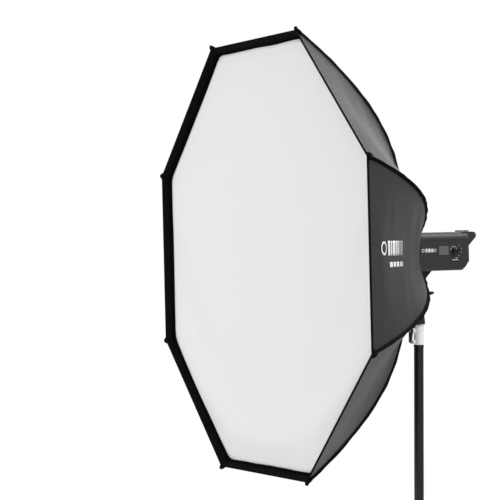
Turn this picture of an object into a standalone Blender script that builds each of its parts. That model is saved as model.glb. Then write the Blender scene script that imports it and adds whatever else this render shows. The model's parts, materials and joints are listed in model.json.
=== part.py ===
"""An octagonal studio softbox on its flash head and stand, as a model of separate, jointed parts.

Frame: metres, +Z up, the light shines towards -Y, the origin is on the floor at the middle of the
model's box. The light's own places are given as (x, depth, up): depth runs back from the softbox's
front rim, and up is measured from the light's axis.
"""

import math

import bmesh
import bpy
from mathutils import Matrix, Vector

# Driving dimensions -------------------------------------------------------------------------------
TIP_RADIUS = 0.750  # softbox, light axis to a corner of the front octagon
SHELL_DEPTH = 0.540  # front rim to where the curved shell would meet the axis
SHELL_POWER = 2.2  # how full the shell's curve is: 2 is a parabola
AXIS_Z = 1.680  # height of the light's axis
COLUMN_Y = 0.1812  # the stand's column stands here, so that the box is centred on the origin
COLUMN_DEPTH = 0.605  # column's centre behind the softbox's front rim
FRONT_Y = COLUMN_Y - COLUMN_DEPTH

SIDES = 8
FIRST_TIP = math.pi / SIDES
CLEARANCE = 0.0005
CLOTH = 0.002
SEAM_GAP = 0.0004  # between the shell's two halves

# Softbox
REAR_RADIUS = 0.125  # corner radius of the shell's rear opening
LIP_DEPTH = 0.040  # hook-and-loop band inside the front rim
LIP_INSET = 0.004
DIFFUSER_DEPTH = 0.033
DIFFUSER_RADIUS = 0.7145
BAFFLE_DEPTH = 0.270
BAFFLE_RADIUS = 0.500
ROD_RADIUS = 0.003
ROD_INSET = 0.008  # rod's centre line inside the shell's outer surface
ROD_FRONT = 0.716  # shell radius where a rod's front tip sits
SOCKET_FROM, SOCKET_TO = 0.074, 0.108
SOCKET_RADIUS = 0.0075
SOCKET_BORE = 0.0038
RING_BORE = 0.0605
RING_RADIUS = 0.100
RING_FRONT, RING_BACK = 0.522, 0.532
HUB_FRONT = 0.5165

# Flash head, whose section is a rounded box round the light's axis
HALF_WIDTH = 0.0625
TOP, BOTTOM = 0.066, -0.062
TOP_ROUND, BOTTOM_ROUND = 0.026, 0.008
WALL = 0.003
CASING_FRONT, CASING_BACK = 0.5605, 0.748
COVER_FRONT, COVER_BACK = 0.7485, 0.768
DISPLAY = (0.649, 0.687, -0.010, 0.019)  # depth from, to, up from, to
DIAL = (0.709, 0.004)
BUTTONS = ((0.721, 0.019), (0.731, 0.008), (0.730, -0.003), (0.720, -0.015))
BUTTON_RADIUS = 0.0032
FITTINGS_UP = -0.0185  # the inlet and the rocker, on the rear face
# The stepped notch along the head's lower rear edge, as (depth, up) points
REAR_NOTCH = ((0.7415, -0.0625), (0.7490, -0.0540), (0.7540, -0.0500), (0.7665, -0.0335))
PIVOT_UP = -0.140  # tilt pivot, under the axis and over the column
REST_TILT = math.radians(1.5)  # the head is set to look down by this much
EAR_INNER, EAR_OUTER = 0.0130, 0.0190

# Stand
SPIGOT_RADIUS = 0.008
UPPER_TUBE, UPPER_BORE = 0.0160, 0.0145
LOWER_TUBE, LOWER_BORE = 0.0190, 0.0172
MAST_TOP = AXIS_Z - 0.3075
MAST_BOTTOM = 0.300
LOWER_TOP, LOWER_BOTTOM = 0.800, 0.100
CROWN_Z, SPIDER_Z = 0.480, 0.120  # heights of the leg pivots and the brace pivots
PIVOT_RADIUS = 0.045
LEG_TUBE = 0.011
BRACE_AT = 0.360  # along a leg, from its pivot to the brace's rivet
BRACE_LENGTH = 0.270
BRACE_NEAR, BRACE_FAR = 0.0125, 0.0165  # the brace bar lies this far to one side of its leg
FOOT_RADIUS = 0.015
FOOT_FLAT = 0.0015
LEG_ANGLES = tuple(math.radians(a) for a in (-90, 30, 150))

# Finishes: colour, roughness, metallic
FINISHES = {
    "black_cloth": ((0.030, 0.030, 0.032, 1), 0.75, 0.0),
    "black_band": ((0.012, 0.012, 0.013, 1), 0.90, 0.0),
    "white_cloth": ((0.840, 0.840, 0.840, 1), 0.85, 0.0),
    "black_plastic": ((0.040, 0.040, 0.042, 1), 0.50, 0.0),
    "black_metal": ((0.025, 0.025, 0.027, 1), 0.40, 0.7),
    "grey_plastic": ((0.150, 0.150, 0.155, 1), 0.35, 0.0),
    "silver_metal": ((0.780, 0.770, 0.760, 1), 0.30, 0.9),
    "white_metal": ((0.800, 0.785, 0.770, 1), 0.35, 0.2),
    "clear_glass": ((0.900, 0.930, 0.950, 1), 0.05, 0.0),
    "board_green": ((0.020, 0.160, 0.070, 1), 0.50, 0.0),
    "rubber": ((0.018, 0.018, 0.018, 1), 0.85, 0.0),
}

# A turned part about the light's axis: its local Z runs back along +Y
ALONG_LIGHT = Matrix.Translation((0, FRONT_Y, AXIS_Z)) @ Matrix.Rotation(-math.pi / 2, 4, "X")
UPRIGHT = Matrix.Identity(4)


def light(x, depth, up):
    """A point given in the light's own places, in the world."""
    return Vector((x, FRONT_Y + depth, AXIS_Z + up))


def start_clean():
    """Removes what the scene holds and makes the two collections."""
    for obj in list(bpy.data.objects):
        bpy.data.objects.remove(obj)
    made = []
    for name in ("studio_softbox", "cutters"):
        collection = bpy.data.collections.new(name)
        bpy.context.scene.collection.children.link(collection)
        made.append(collection)
    made[1].hide_render = True
    return made


PARTS, CUTTERS = start_clean()


def finish_material(name):
    """The Principled material of that finish, made once."""
    found = bpy.data.materials.get(name)
    if found:
        return found
    colour, roughness, metallic = FINISHES[name]
    made = bpy.data.materials.new(name)
    made.use_nodes = True
    shader = made.node_tree.nodes["Principled BSDF"]
    shader.inputs["Base Color"].default_value = colour
    shader.inputs["Roughness"].default_value = roughness
    shader.inputs["Metallic"].default_value = metallic
    made.diffuse_color = colour
    return made


def place(name, data, finish, matrix):
    """An object with that mesh or curve, its finish and its place."""
    obj = bpy.data.objects.new(name, data)
    PARTS.objects.link(obj)
    obj.matrix_world = matrix
    data.materials.append(finish_material(finish))
    return obj


def mesh_object(name, shape, finish, matrix):
    """An object from a bmesh, with its round faces shaded smooth."""
    bmesh.ops.recalc_face_normals(shape, faces=shape.faces)
    mesh = bpy.data.meshes.new(name)
    shape.to_mesh(mesh)
    shape.free()
    mesh.shade_smooth()
    mesh.set_sharp_from_angle(angle=math.radians(35))
    return place(name, mesh, finish, matrix)


def box(name, finish, size, centre, bevel=0.0, turn=UPRIGHT):
    """A box of that size about a point, with its edges rounded by bevel."""
    shape = bmesh.new()
    bmesh.ops.create_cube(shape, size=1.0, matrix=Matrix.Diagonal((*size, 1)))
    obj = mesh_object(name, shape, finish, Matrix.Translation(centre) @ turn)
    if bevel:
        rounding = obj.modifiers.new("rounding", "BEVEL")
        rounding.width = bevel
        rounding.segments = 2
    return obj


def towards(start, end):
    """A matrix at start whose local Z points to end."""
    direction = (Vector(end) - Vector(start)).normalized()
    return Matrix.Translation(start) @ direction.to_track_quat("Z", "Y").to_matrix().to_4x4()


def cylinder(name, finish, radius, start, end, segments=16):
    """A round bar from one point to another."""
    length = (Vector(end) - Vector(start)).length
    shape = bmesh.new()
    bmesh.ops.create_cone(
        shape, cap_ends=True, segments=segments, radius1=radius, radius2=radius, depth=length,
        matrix=Matrix.Translation((0, 0, length / 2)),
    )
    return mesh_object(name, shape, finish, towards(start, end))


def turned(name, finish, profile, matrix, steps=24, closed=True):
    """A profile of (radius, height) points swept round its local Z. Its outer side runs downwards."""
    mesh = bpy.data.meshes.new(name)
    points = [(radius, 0, height) for radius, height in profile]
    edges = [(i, i + 1) for i in range(len(points) - 1)]
    if closed:
        edges.append((len(points) - 1, 0))
    mesh.from_pydata(points, edges, [])
    obj = place(name, mesh, finish, matrix)
    sweep = obj.modifiers.new("sweep", "SCREW")
    sweep.steps = steps
    sweep.render_steps = steps
    sweep.use_merge_vertices = True
    sweep.merge_threshold = 0.00001
    return obj


def tube(name, finish, outer, inner, low, high, matrix, steps=24):
    """A straight round tube between two heights."""
    profile = [(outer, high), (outer, low), (inner, low), (inner, high)]
    return turned(name, finish, profile, matrix, steps)


def arc(centre, radius, start, end, steps):
    """Points on an arc in the plane, angles in degrees."""
    angles = [math.radians(start + (end - start) * i / steps) for i in range(steps + 1)]
    return [(centre[0] + radius * math.cos(a), centre[1] + radius * math.sin(a)) for a in angles]


def as_mesh(obj):
    """The same object as a mesh with its loose caps joined, so that it can be cut."""
    graph = bpy.context.evaluated_depsgraph_get()
    mesh = bpy.data.meshes.new_from_object(obj.evaluated_get(graph))
    shape = bmesh.new()
    shape.from_mesh(mesh)
    bmesh.ops.remove_doubles(shape, verts=shape.verts, dist=0.00001)
    name, matrix, finish = obj.name, obj.matrix_world.copy(), obj.data.materials[0].name
    bpy.data.objects.remove(obj)
    return mesh_object(name, shape, finish, matrix)


def prism(name, finish, outline, length, matrix):
    """A flat outline extruded from local Z 0 to length."""
    curve = bpy.data.curves.new(name, "CURVE")
    curve.dimensions = "2D"
    curve.fill_mode = "BOTH"
    curve.extrude = length / 2
    spline = curve.splines.new("POLY")
    spline.points.add(len(outline) - 1)
    for point, (x, y) in zip(spline.points, outline):
        point.co = (x, y, 0, 1)
    spline.use_cyclic_u = True
    flat = place(name, curve, finish, matrix @ Matrix.Translation((0, 0, length / 2)))
    bpy.context.view_layer.update()
    return as_mesh(flat)


def combine(obj, operation, *others):
    """Joins other shapes into an object, or cuts them out of it. They stay as hidden helpers."""
    for other in others:
        PARTS.objects.unlink(other)
        CUTTERS.objects.link(other)
        other.parent = obj
        other.matrix_parent_inverse = obj.matrix_world.inverted()
        other.hide_render = True
        other.display_type = "WIRE"
        step = obj.modifiers.new(other.name, "BOOLEAN")
        step.operation = operation
        step.object = other
    return obj


def rod_curve(name, finish, radius, points, resolution=2):
    """A round bar along a line of points."""
    curve = bpy.data.curves.new(name, "CURVE")
    curve.dimensions = "3D"
    curve.bevel_depth = radius
    curve.bevel_resolution = resolution
    curve.use_fill_caps = True
    spline = curve.splines.new("POLY")
    spline.points.add(len(points) - 1)
    for point, place_at in zip(spline.points, points):
        point.co = (*place_at, 1)
    return place(name, curve, finish, UPRIGHT)


def group(name, children, location):
    """Parents parts to an empty on their joint's axis, and leaves them where they are."""
    empty = bpy.data.objects.new(name, None)
    empty.location = location
    PARTS.objects.link(empty)
    bpy.context.view_layer.update()
    for child in children:
        child.parent = empty
        child.matrix_parent_inverse = empty.matrix_world.inverted()
    return empty


# The softbox --------------------------------------------------------------------------------------


def shell_depth(radius):
    """Depth of the shell's outer seam at a distance from the axis."""
    return SHELL_DEPTH * (1 - (radius / TIP_RADIUS) ** SHELL_POWER)


def shell_radius(depth):
    """Distance of the shell's outer seam from the axis at a depth."""
    return TIP_RADIUS * (1 - depth / SHELL_DEPTH) ** (1 / SHELL_POWER)


def rod_point(radius):
    """(radius, depth) of a rod's centre line under the seam at that radius."""
    slope = -SHELL_DEPTH * SHELL_POWER * radius ** (SHELL_POWER - 1) / TIP_RADIUS**SHELL_POWER
    outward = Vector((-slope, 1)).normalized()
    return radius - ROD_INSET * outward.x, shell_depth(radius) - ROD_INSET * outward.y


def around(radius, depth, angle):
    """A point at that distance and angle round the light's axis, in the world."""
    return light(radius * math.cos(angle), depth, radius * math.sin(angle))


def tip_angles():
    """The angles of the octagon's corners."""
    return [FIRST_TIP + i * 2 * math.pi / SIDES for i in range(SIDES)]


def make_half_shell(name, first_angle):
    """Half of the sewn outer shell: four curved gores between two opposite seams, 2 mm thick."""
    steps, seams = 14, SIDES // 2
    half_turn = math.pi / SIDES
    shape = bmesh.new()
    rings = []
    for i in range(steps + 1):
        radius = REAR_RADIUS + (TIP_RADIUS - REAR_RADIUS) * i / steps
        slope = SHELL_DEPTH * SHELL_POWER * radius ** (SHELL_POWER - 1) / TIP_RADIUS**SHELL_POWER
        normal = Vector((slope, math.cos(half_turn))).normalized()
        outer = (radius, shell_depth(radius))
        inner = (radius - CLOTH * normal.x / math.cos(half_turn), shell_depth(radius) - CLOTH * normal.y)
        ring = []
        for reach, depth in (outer, inner):
            side = []
            for seam in range(seams + 1):
                angle = first_angle + seam * 2 * half_turn
                gap = {0: SEAM_GAP / 2, seams: -SEAM_GAP / 2}.get(seam, 0)
                along_gap = Vector((-math.sin(angle), 0, math.cos(angle))) * gap
                side.append(shape.verts.new(around(reach, depth, angle) + along_gap))
            ring += side if reach == radius else side[::-1]
        rings.append(ring)
    for low, high in zip(rings, rings[1:]):
        for c in range(len(low)):
            n = (c + 1) % len(low)
            shape.faces.new((low[c], low[n], high[n], high[c]))
    for ring in (rings[0], rings[-1]):
        for seam in range(seams):
            shape.faces.new((ring[seam], ring[seam + 1], ring[-2 - seam], ring[-1 - seam]))
    return mesh_object(name, shape, "black_cloth", UPRIGHT)


def make_lip():
    """The black band of loop tape that lines the shell inside its front rim."""
    steps = 3
    depths = [LIP_DEPTH * i / steps for i in range(steps, -1, -1)]
    outer = [(shell_radius(d) - LIP_INSET, d) for d in depths]
    inner = [(r - 0.0025, d) for r, d in reversed(outer)]
    turn = ALONG_LIGHT @ Matrix.Rotation(FIRST_TIP, 4, "Z")
    return turned("front_lip", "black_band", outer + inner, turn, steps=SIDES)


def octagon_sheet(name, radius, depth, thickness):
    """A flat eight-sided sheet across the light's axis."""
    shape = bmesh.new()
    turn = Matrix.Rotation(FIRST_TIP, 4, "Z") @ Matrix.Translation((0, 0, thickness / 2))
    bmesh.ops.create_cone(
        shape, cap_ends=True, segments=SIDES, radius1=radius, radius2=radius, depth=thickness,
        matrix=turn,
    )
    return mesh_object(
        name, shape, "white_cloth", ALONG_LIGHT @ Matrix.Translation((0, 0, depth))
    )


def make_rods():
    """The eight sprung rods that bow the shell, each from its socket to its corner pocket."""
    steps = 12
    first = SOCKET_FROM + 0.006
    rods = []
    for i, angle in enumerate(tip_angles()):
        radii = [first + (ROD_FRONT - first) * k / steps for k in range(steps + 1)]
        points = [around(*rod_point(r), angle) for r in radii]
        rods.append(rod_curve(f"rod_{i + 1}", "grey_plastic", ROD_RADIUS, points))
    return rods


def make_speedring():
    """The turning ring that holds the rods, with eight bored sockets round its plate."""
    profile = [
        (RING_RADIUS, RING_BACK), (RING_RADIUS, RING_FRONT), (0.070, RING_FRONT),
        (0.070, HUB_FRONT), (RING_BORE, HUB_FRONT), (RING_BORE, RING_BACK),
    ]
    ring = turned("speedring", "silver_metal", profile, ALONG_LIGHT, steps=32)
    for i, angle in enumerate(tip_angles()):
        start = around(*rod_point(SOCKET_FROM), angle)
        end = around(*rod_point(SOCKET_TO), angle)
        socket = cylinder(f"socket_{i}", "silver_metal", SOCKET_RADIUS, start, end, 10)
        combine(ring, "UNION", socket)
    for i, angle in enumerate(tip_angles()):
        start = around(*rod_point(SOCKET_FROM + 0.004), angle)
        end = around(*rod_point(SOCKET_TO + 0.010), angle)
        combine(ring, "DIFFERENCE", cylinder(f"bore_{i}", "silver_metal", SOCKET_BORE, start, end, 8))
    screw_hole = cylinder(
        "screw_hole", "silver_metal", 0.0036, light(0, 0.515, 0.086), light(0, 0.540, 0.086), 12
    )
    return combine(ring, "DIFFERENCE", screw_hole)


def make_thumbscrew():
    """The ring's clamping thumbscrew, with a scalloped head behind the plate."""
    lobes = 10
    outline = []
    for i in range(lobes * 4):
        angle = 2 * math.pi * i / (lobes * 4)
        radius = 0.0085 + 0.0007 * math.cos(lobes * angle)
        outline.append((radius * math.cos(angle), radius * math.sin(angle)))
    place_at = ALONG_LIGHT @ Matrix.Translation((0, -0.086, RING_BACK + CLEARANCE))
    head = prism("speedring_thumbscrew", "black_plastic", outline, 0.010, place_at)
    stem = cylinder("stem", "silver_metal", 0.003, light(0, 0.520, 0.086), light(0, 0.536, 0.086), 12)
    return combine(head, "UNION", stem)


def make_adapter():
    """The bayonet adapter that the ring turns on. Three lugs lock it into the head's mount ring."""
    profile = [
        (0.0545, 0.5535), (0.0545, 0.5385), (0.0720, 0.5385), (0.0720, 0.5335),
        (0.0595, 0.5335), (0.0595, 0.5160), (0.0660, 0.5160), (0.0660, 0.5110),
        (0.0500, 0.5110), (0.0500, 0.5535),
    ]
    adapter = turned("bayonet_adapter", "silver_metal", profile, ALONG_LIGHT, steps=32)
    for i in range(3):
        angle = math.radians(90 + 120 * i)
        turn = Matrix.Rotation(-angle, 4, "Y")
        centre = around(0.0575, 0.54975, angle)
        combine(adapter, "UNION", box(f"lug_{i}", "silver_metal", (0.009, 0.0075, 0.022), centre, 0, turn))
    return adapter


# The flash head -----------------------------------------------------------------------------------


def head_outline(inset):
    """The head's section as (x, -up) points, inside the outer surface by inset."""
    half, top, bottom = HALF_WIDTH - inset, TOP - inset, BOTTOM + inset
    top_round, bottom_round = TOP_ROUND - inset, max(BOTTOM_ROUND - inset, 0.002)
    corners = (
        ((half - top_round, top - top_round), top_round, 0, 6),
        ((-half + top_round, top - top_round), top_round, 90, 6),
        ((-half + bottom_round, bottom + bottom_round), bottom_round, 180, 3),
        ((half - bottom_round, bottom + bottom_round), bottom_round, 270, 3),
    )
    points = []
    for centre, radius, start, steps in corners:
        points += arc(centre, radius, start, start + 90, steps)
    return [(x, -up) for x, up in points]


def along_light(depth):
    """The matrix of a prism that runs back from that depth."""
    return ALONG_LIGHT @ Matrix.Translation((0, 0, depth))


def across(x):
    """The matrix of a prism whose outline is (depth, up) and which runs towards +X from x."""
    axes = Matrix(((0, 0, 1, 0), (1, 0, 0, 0), (0, 1, 0, 0), (0, 0, 0, 1)))
    return Matrix.Translation(light(x, 0, 0)) @ axes


def rear_notch(name, wall):
    """The notch along the head's lower rear edge as a solid, moved into the head by a wall's thickness."""
    outline = [*REAR_NOTCH, (0.8000, -0.0335), (0.8000, -0.0800), (0.7415, -0.0800)]
    moved = [(depth - wall, up + wall) for depth, up in outline]
    return prism(name, "black_plastic", moved, 2 * HALF_WIDTH + 0.020, across(-HALF_WIDTH - 0.010))


def make_casing():
    """The head's main casing: a box open at the back, with holes for the lamp and the controls."""
    length = CASING_BACK - CASING_FRONT
    casing = prism("head_casing", "black_plastic", head_outline(0), length, along_light(CASING_FRONT))
    cavity = prism("cavity", "black_plastic", head_outline(WALL), length, along_light(CASING_FRONT + WALL))
    lamp_hole = cylinder(
        "lamp_hole", "black_plastic", 0.050, light(0, 0.550, 0), light(0, 0.575, 0), 40
    )
    depth_from, depth_to, up_from, up_to = DISPLAY
    window = box(
        "window_recess", "black_plastic",
        (0.004, depth_to - depth_from + 0.0010, up_to - up_from + 0.0010),
        light(HALF_WIDTH, (depth_from + depth_to) / 2, (up_from + up_to) / 2),
    )
    combine(cavity, "DIFFERENCE", rear_notch("casing_notch_wall", WALL))
    combine(casing, "DIFFERENCE", cavity, lamp_hole, window, rear_notch("casing_notch", 0))
    holes = [(*DIAL, 0.0036)] + [(*place_at, BUTTON_RADIUS + 0.0005) for place_at in BUTTONS]
    for i, (depth, up, radius) in enumerate(holes):
        start, end = light(0.055, depth, up), light(0.070, depth, up)
        combine(casing, "DIFFERENCE", cylinder(f"control_hole_{i}", "black_plastic", radius, start, end, 14))
    for i in range(6):
        slot = box(
            f"vent_{i}", "black_plastic", (0.010, 0.006, 0.050), light(-HALF_WIDTH, 0.640 + 0.013 * i, 0.0)
        )
        combine(casing, "DIFFERENCE", slot)
    return casing


def make_rear_cover():
    """The rear cover with its overhanging grip, a rocker pocket and the inlet's opening."""
    length = COVER_BACK - COVER_FRONT
    cover = prism("rear_cover", "black_plastic", head_outline(0), length, along_light(COVER_FRONT))
    grip_outline = (
        [(0.7505, 0.012), (0.7690, 0.0140), (0.8000, 0.0440)]
        + arc((0.7930, 0.0535), 0.0120, -42, 90, 5)
        + [(0.7505, 0.0655)]
    )
    grip = prism("grip", "black_plastic", grip_outline, 2 * HALF_WIDTH - 0.020, across(-HALF_WIDTH + 0.010))
    combine(cover, "UNION", grip)
    hollow = prism("hollow", "black_plastic", head_outline(WALL), length, along_light(COVER_FRONT - WALL))
    combine(hollow, "DIFFERENCE", rear_notch("cover_notch_wall", WALL))
    inlet_hole = box("inlet_hole", "black_plastic", (0.029, 0.030, 0.021), light(0.025, 0.765, FITTINGS_UP))
    rocker_hole = box("rocker_hole", "black_plastic", (0.022, 0.030, 0.015), light(-0.028, 0.765, FITTINGS_UP))
    return combine(cover, "DIFFERENCE", hollow, inlet_hole, rocker_hole, rear_notch("cover_notch", 0))


def make_mount_ring():
    """The bayonet socket on the head's nose, with three gaps that let the adapter's lugs in."""
    profile = [
        (0.0730, 0.5600), (0.0730, 0.5395), (0.0560, 0.5395), (0.0560, 0.5450),
        (0.0645, 0.5450), (0.0645, 0.5545), (0.0560, 0.5545), (0.0560, 0.5600),
    ]
    ring = turned("mount_ring", "black_metal", profile, ALONG_LIGHT, steps=32)
    for i in range(3):
        angle = math.radians(90 + 40 + 120 * i)
        gap = box(
            f"lug_gap_{i}", "black_metal", (0.016, 0.009, 0.025), around(0.0560, 0.5420, angle), 0,
            Matrix.Rotation(-angle, 4, "Y"),
        )
        combine(ring, "DIFFERENCE", gap)
    return ring


def make_release():
    """The sliding catch beside the mount ring that frees the bayonet."""
    catch = box("bayonet_release", "grey_plastic", (0.010, 0.016, 0.014), light(-0.0795, 0.552, 0.0), 0.0015)
    stem = box("catch_stem", "grey_plastic", (0.006, 0.008, 0.008), light(-0.0768, 0.552, 0.0))
    return combine(catch, "UNION", stem)


def make_controls():
    """The display window, the dial and the push buttons on the head's side."""
    depth_from, depth_to, up_from, up_to = DISPLAY
    window = box(
        "display_window", "grey_plastic", (0.0016, depth_to - depth_from, up_to - up_from),
        light(HALF_WIDTH - 0.0005, (depth_from + depth_to) / 2, (up_from + up_to) / 2),
    )
    to_side = Matrix.Rotation(math.pi / 2, 4, "Y")
    dial_profile = [
        (0.0, 0.0125), (0.0092, 0.0125), (0.0105, 0.0112), (0.0105, 0.0006),
        (0.0030, 0.0006), (0.0030, -0.0080), (0.0, -0.0080),
    ]
    dial_at = Matrix.Translation(light(HALF_WIDTH, *DIAL)) @ to_side
    dial = turned("power_dial", "black_plastic", dial_profile, dial_at, steps=24, closed=False)
    button_profile = [
        (0.0, 0.0018), (BUTTON_RADIUS - 0.0008, 0.0018), (BUTTON_RADIUS, 0.0010),
        (BUTTON_RADIUS, -0.0040), (0.0, -0.0040),
    ]
    buttons = []
    for i, place_at in enumerate(BUTTONS):
        matrix = Matrix.Translation(light(HALF_WIDTH, *place_at)) @ to_side
        name = f"button_{i + 1}"
        buttons.append(turned(name, "black_plastic", button_profile, matrix, steps=14, closed=False))
    return window, dial, buttons


def make_rear_fittings():
    """The mains rocker, the mains inlet and the smoked cover over the slave sensor."""
    rocker = box("power_switch", "black_plastic", (0.020, 0.008, 0.013), light(-0.028, 0.767, FITTINGS_UP), 0.001)
    inlet = box("mains_inlet", "black_plastic", (0.028, 0.019, 0.020), light(0.025, 0.7610, FITTINGS_UP))
    mouth = box("inlet_mouth", "black_plastic", (0.024, 0.015, 0.016), light(0.025, 0.7650, FITTINGS_UP))
    combine(inlet, "DIFFERENCE", mouth)
    for i, (x, up) in enumerate(((-0.007, -0.003), (0.0, 0.003), (0.007, -0.003))):
        pin = box(f"pin_{i}", "silver_metal", (0.002, 0.011, 0.004), light(0.025 + x, 0.7600, FITTINGS_UP + up))
        combine(inlet, "UNION", pin)
    sensor = box("sensor_cover", "grey_plastic", (0.026, 0.040, 0.0050), light(0, 0.7830, TOP + 0.0032), 0.0018)
    return rocker, inlet, sensor


def make_lamp_parts():
    """What makes the light: the lamp base, the ring-shaped flash tube, the modelling lamp, the dome."""
    base_profile = [(0.0, 0.5705), (0.0540, 0.5705), (0.0540, 0.5642), (0.0, 0.5642)]
    base = turned("lamp_base", "white_metal", base_profile, ALONG_LIGHT, steps=32, closed=False)
    ring = turned(
        "flash_tube", "clear_glass", [(0.032 + x, 0.515 + y) for x, y in arc((0, 0), 0.004, 360, 60, 5)],
        ALONG_LIGHT, steps=20,
    )
    for side in (-1, 1):
        start, end = light(0.032 * side, 0.515, 0), light(0.032 * side, 0.5637, 0)
        combine(ring, "UNION", cylinder(f"electrode_{side}", "clear_glass", 0.0030, start, end, 12))
    bulb_outline = arc((0, 0.533), 0.011, -40, -90, 4)
    bulb_profile = [(0.0, 0.5637), (0.0075, 0.5637), (0.0075, 0.5450)] + bulb_outline
    lamp = turned("modelling_lamp", "clear_glass", bulb_profile, ALONG_LIGHT, steps=16, closed=False)
    outer = [(0.046, 0.5600)] + arc((0, 0.505), 0.046, 0, -90, 5)
    inner = arc((0, 0.505), 0.044, -90, 0, 5) + [(0.044, 0.5600)]
    dome = turned("glass_dome", "clear_glass", outer + inner, ALONG_LIGHT, steps=20)
    return base, ring, lamp, dome


def make_inner_parts():
    """The capacitor, the control board and the fan's rotor inside the casing."""
    capacitor = cylinder(
        "capacitor", "grey_plastic", 0.022, light(-0.022, 0.600, -0.026), light(-0.022, 0.690, -0.026), 24
    )
    board = box("circuit_board", "board_green", (0.0016, 0.100, 0.084), light(0.0490, 0.690, 0.002))
    fan = cylinder("fan_rotor", "black_plastic", 0.013, light(0, 0.726, 0.004), light(0, 0.740, 0.004), 20)
    for i in range(7):
        angle = 2 * math.pi * i / 7
        turn = Matrix.Rotation(-angle, 4, "Y") @ Matrix.Rotation(math.radians(35), 4, "X")
        centre = light(0.023 * math.cos(angle), 0.733, 0.004 + 0.023 * math.sin(angle))
        combine(fan, "UNION", box(f"blade_{i}", "black_plastic", (0.024, 0.0016, 0.012), centre, 0, turn))
    return capacitor, board, fan


def make_yoke():
    """The arm under the casing that carries the tilt pivot."""
    outline = (
        [(0.583, BOTTOM - CLEARANCE), (0.583, -0.120)]
        + arc((COLUMN_DEPTH, PIVOT_UP), 0.026, 160, 375, 12)
        + [(0.629, -0.086), (0.652, BOTTOM - CLEARANCE)]
    )
    yoke = prism("tilt_yoke", "black_metal", outline, 2 * EAR_INNER - 0.002, across(-EAR_INNER + 0.001))
    hole = cylinder(
        "yoke_hole", "black_metal", 0.0044, light(-0.03, COLUMN_DEPTH, PIVOT_UP),
        light(0.03, COLUMN_DEPTH, PIVOT_UP), 16,
    )
    return combine(yoke, "DIFFERENCE", hole)


def make_receiver():
    """The fork that tilts the head and sits on the stand's spigot."""
    body_profile = [
        (0.0, -0.1720), (0.0170, -0.1720), (0.0190, -0.1780), (0.0190, -0.2100),
        (0.0215, -0.2330), (0.0215, -0.2385), (0.0, -0.2385),
    ]
    upright = Matrix.Translation((0, COLUMN_Y, AXIS_Z))
    receiver = turned("stand_receiver", "black_metal", body_profile, upright, steps=24, closed=False)
    ear_outline = (
        arc((COLUMN_DEPTH, PIVOT_UP), 0.023, 0, 180, 10)
        + [(COLUMN_DEPTH - 0.017, -0.180), (COLUMN_DEPTH + 0.017, -0.180)]
    )
    for i, x in enumerate((EAR_INNER, -EAR_OUTER)):
        combine(receiver, "UNION", prism(f"ear_{i}", "black_metal", ear_outline, EAR_OUTER - EAR_INNER, across(x)))
    bolt_hole = cylinder(
        "bolt_hole", "black_metal", 0.0044, light(-0.03, COLUMN_DEPTH, PIVOT_UP),
        light(0.03, COLUMN_DEPTH, PIVOT_UP), 16,
    )
    socket = cylinder(
        "spigot_socket", "black_metal", SPIGOT_RADIUS + 0.0004, (0, COLUMN_Y, AXIS_Z - 0.250),
        (0, COLUMN_Y, AXIS_Z - 0.196), 24,
    )
    screw_hole = cylinder(
        "clamp_hole", "black_metal", 0.0038, light(-0.005, COLUMN_DEPTH, -0.215),
        light(-0.040, COLUMN_DEPTH, -0.215), 14,
    )
    return combine(receiver, "DIFFERENCE", bolt_hole, socket, screw_hole)


def make_tilt_lock():
    """The tilt bolt through the fork, and the ratchet lever on its end."""
    bolt = cylinder(
        "tilt_bolt", "silver_metal", 0.0040, light(-0.0215, COLUMN_DEPTH, PIVOT_UP),
        light(0.0188, COLUMN_DEPTH, PIVOT_UP), 16,
    )
    bolt_head = cylinder(
        "bolt_head", "silver_metal", 0.0075, light(-0.0245, COLUMN_DEPTH, PIVOT_UP),
        light(-0.0195, COLUMN_DEPTH, PIVOT_UP), 6,
    )
    combine(bolt, "UNION", bolt_head)
    tip_depth, tip_up = 0.038, 0.006
    outline = (
        arc((0, 0), 0.0115, 110, 320, 10)
        + arc((tip_depth, tip_up), 0.0045, -70, 100, 5)
    )
    at_pivot = Matrix.Translation((0, COLUMN_DEPTH + FRONT_Y, PIVOT_UP + AXIS_Z))
    axes = Matrix(((0, 0, 1, 0), (1, 0, 0, 0), (0, 1, 0, 0), (0, 0, 0, 1)))
    lever = prism(
        "tilt_lever", "black_plastic", outline, 0.010,
        at_pivot @ Matrix.Translation((EAR_OUTER + CLEARANCE, 0, 0)) @ axes,
    )
    return bolt, lever


def t_knob(name, start, direction, length=0.024, half_span=0.021):
    """A clamping T-knob: a screw from start outwards along direction, with a cross bar on its end."""
    start, direction = Vector(start), Vector(direction).normalized()
    end = start + direction * length
    knob = cylinder(name, "black_plastic", 0.0035, start, end, 12)
    side = direction.orthogonal().normalized()
    hub = cylinder(f"{name}_hub", "black_plastic", 0.009, end - direction * 0.010, end + direction * 0.003, 16)
    bar = rod_curve(f"{name}_bar", "black_plastic", 0.0055, [end - side * half_span, end + side * half_span], 2)
    bpy.context.view_layer.update()
    return combine(knob, "UNION", hub, as_mesh(bar))


# The stand ----------------------------------------------------------------------------------------


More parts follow.
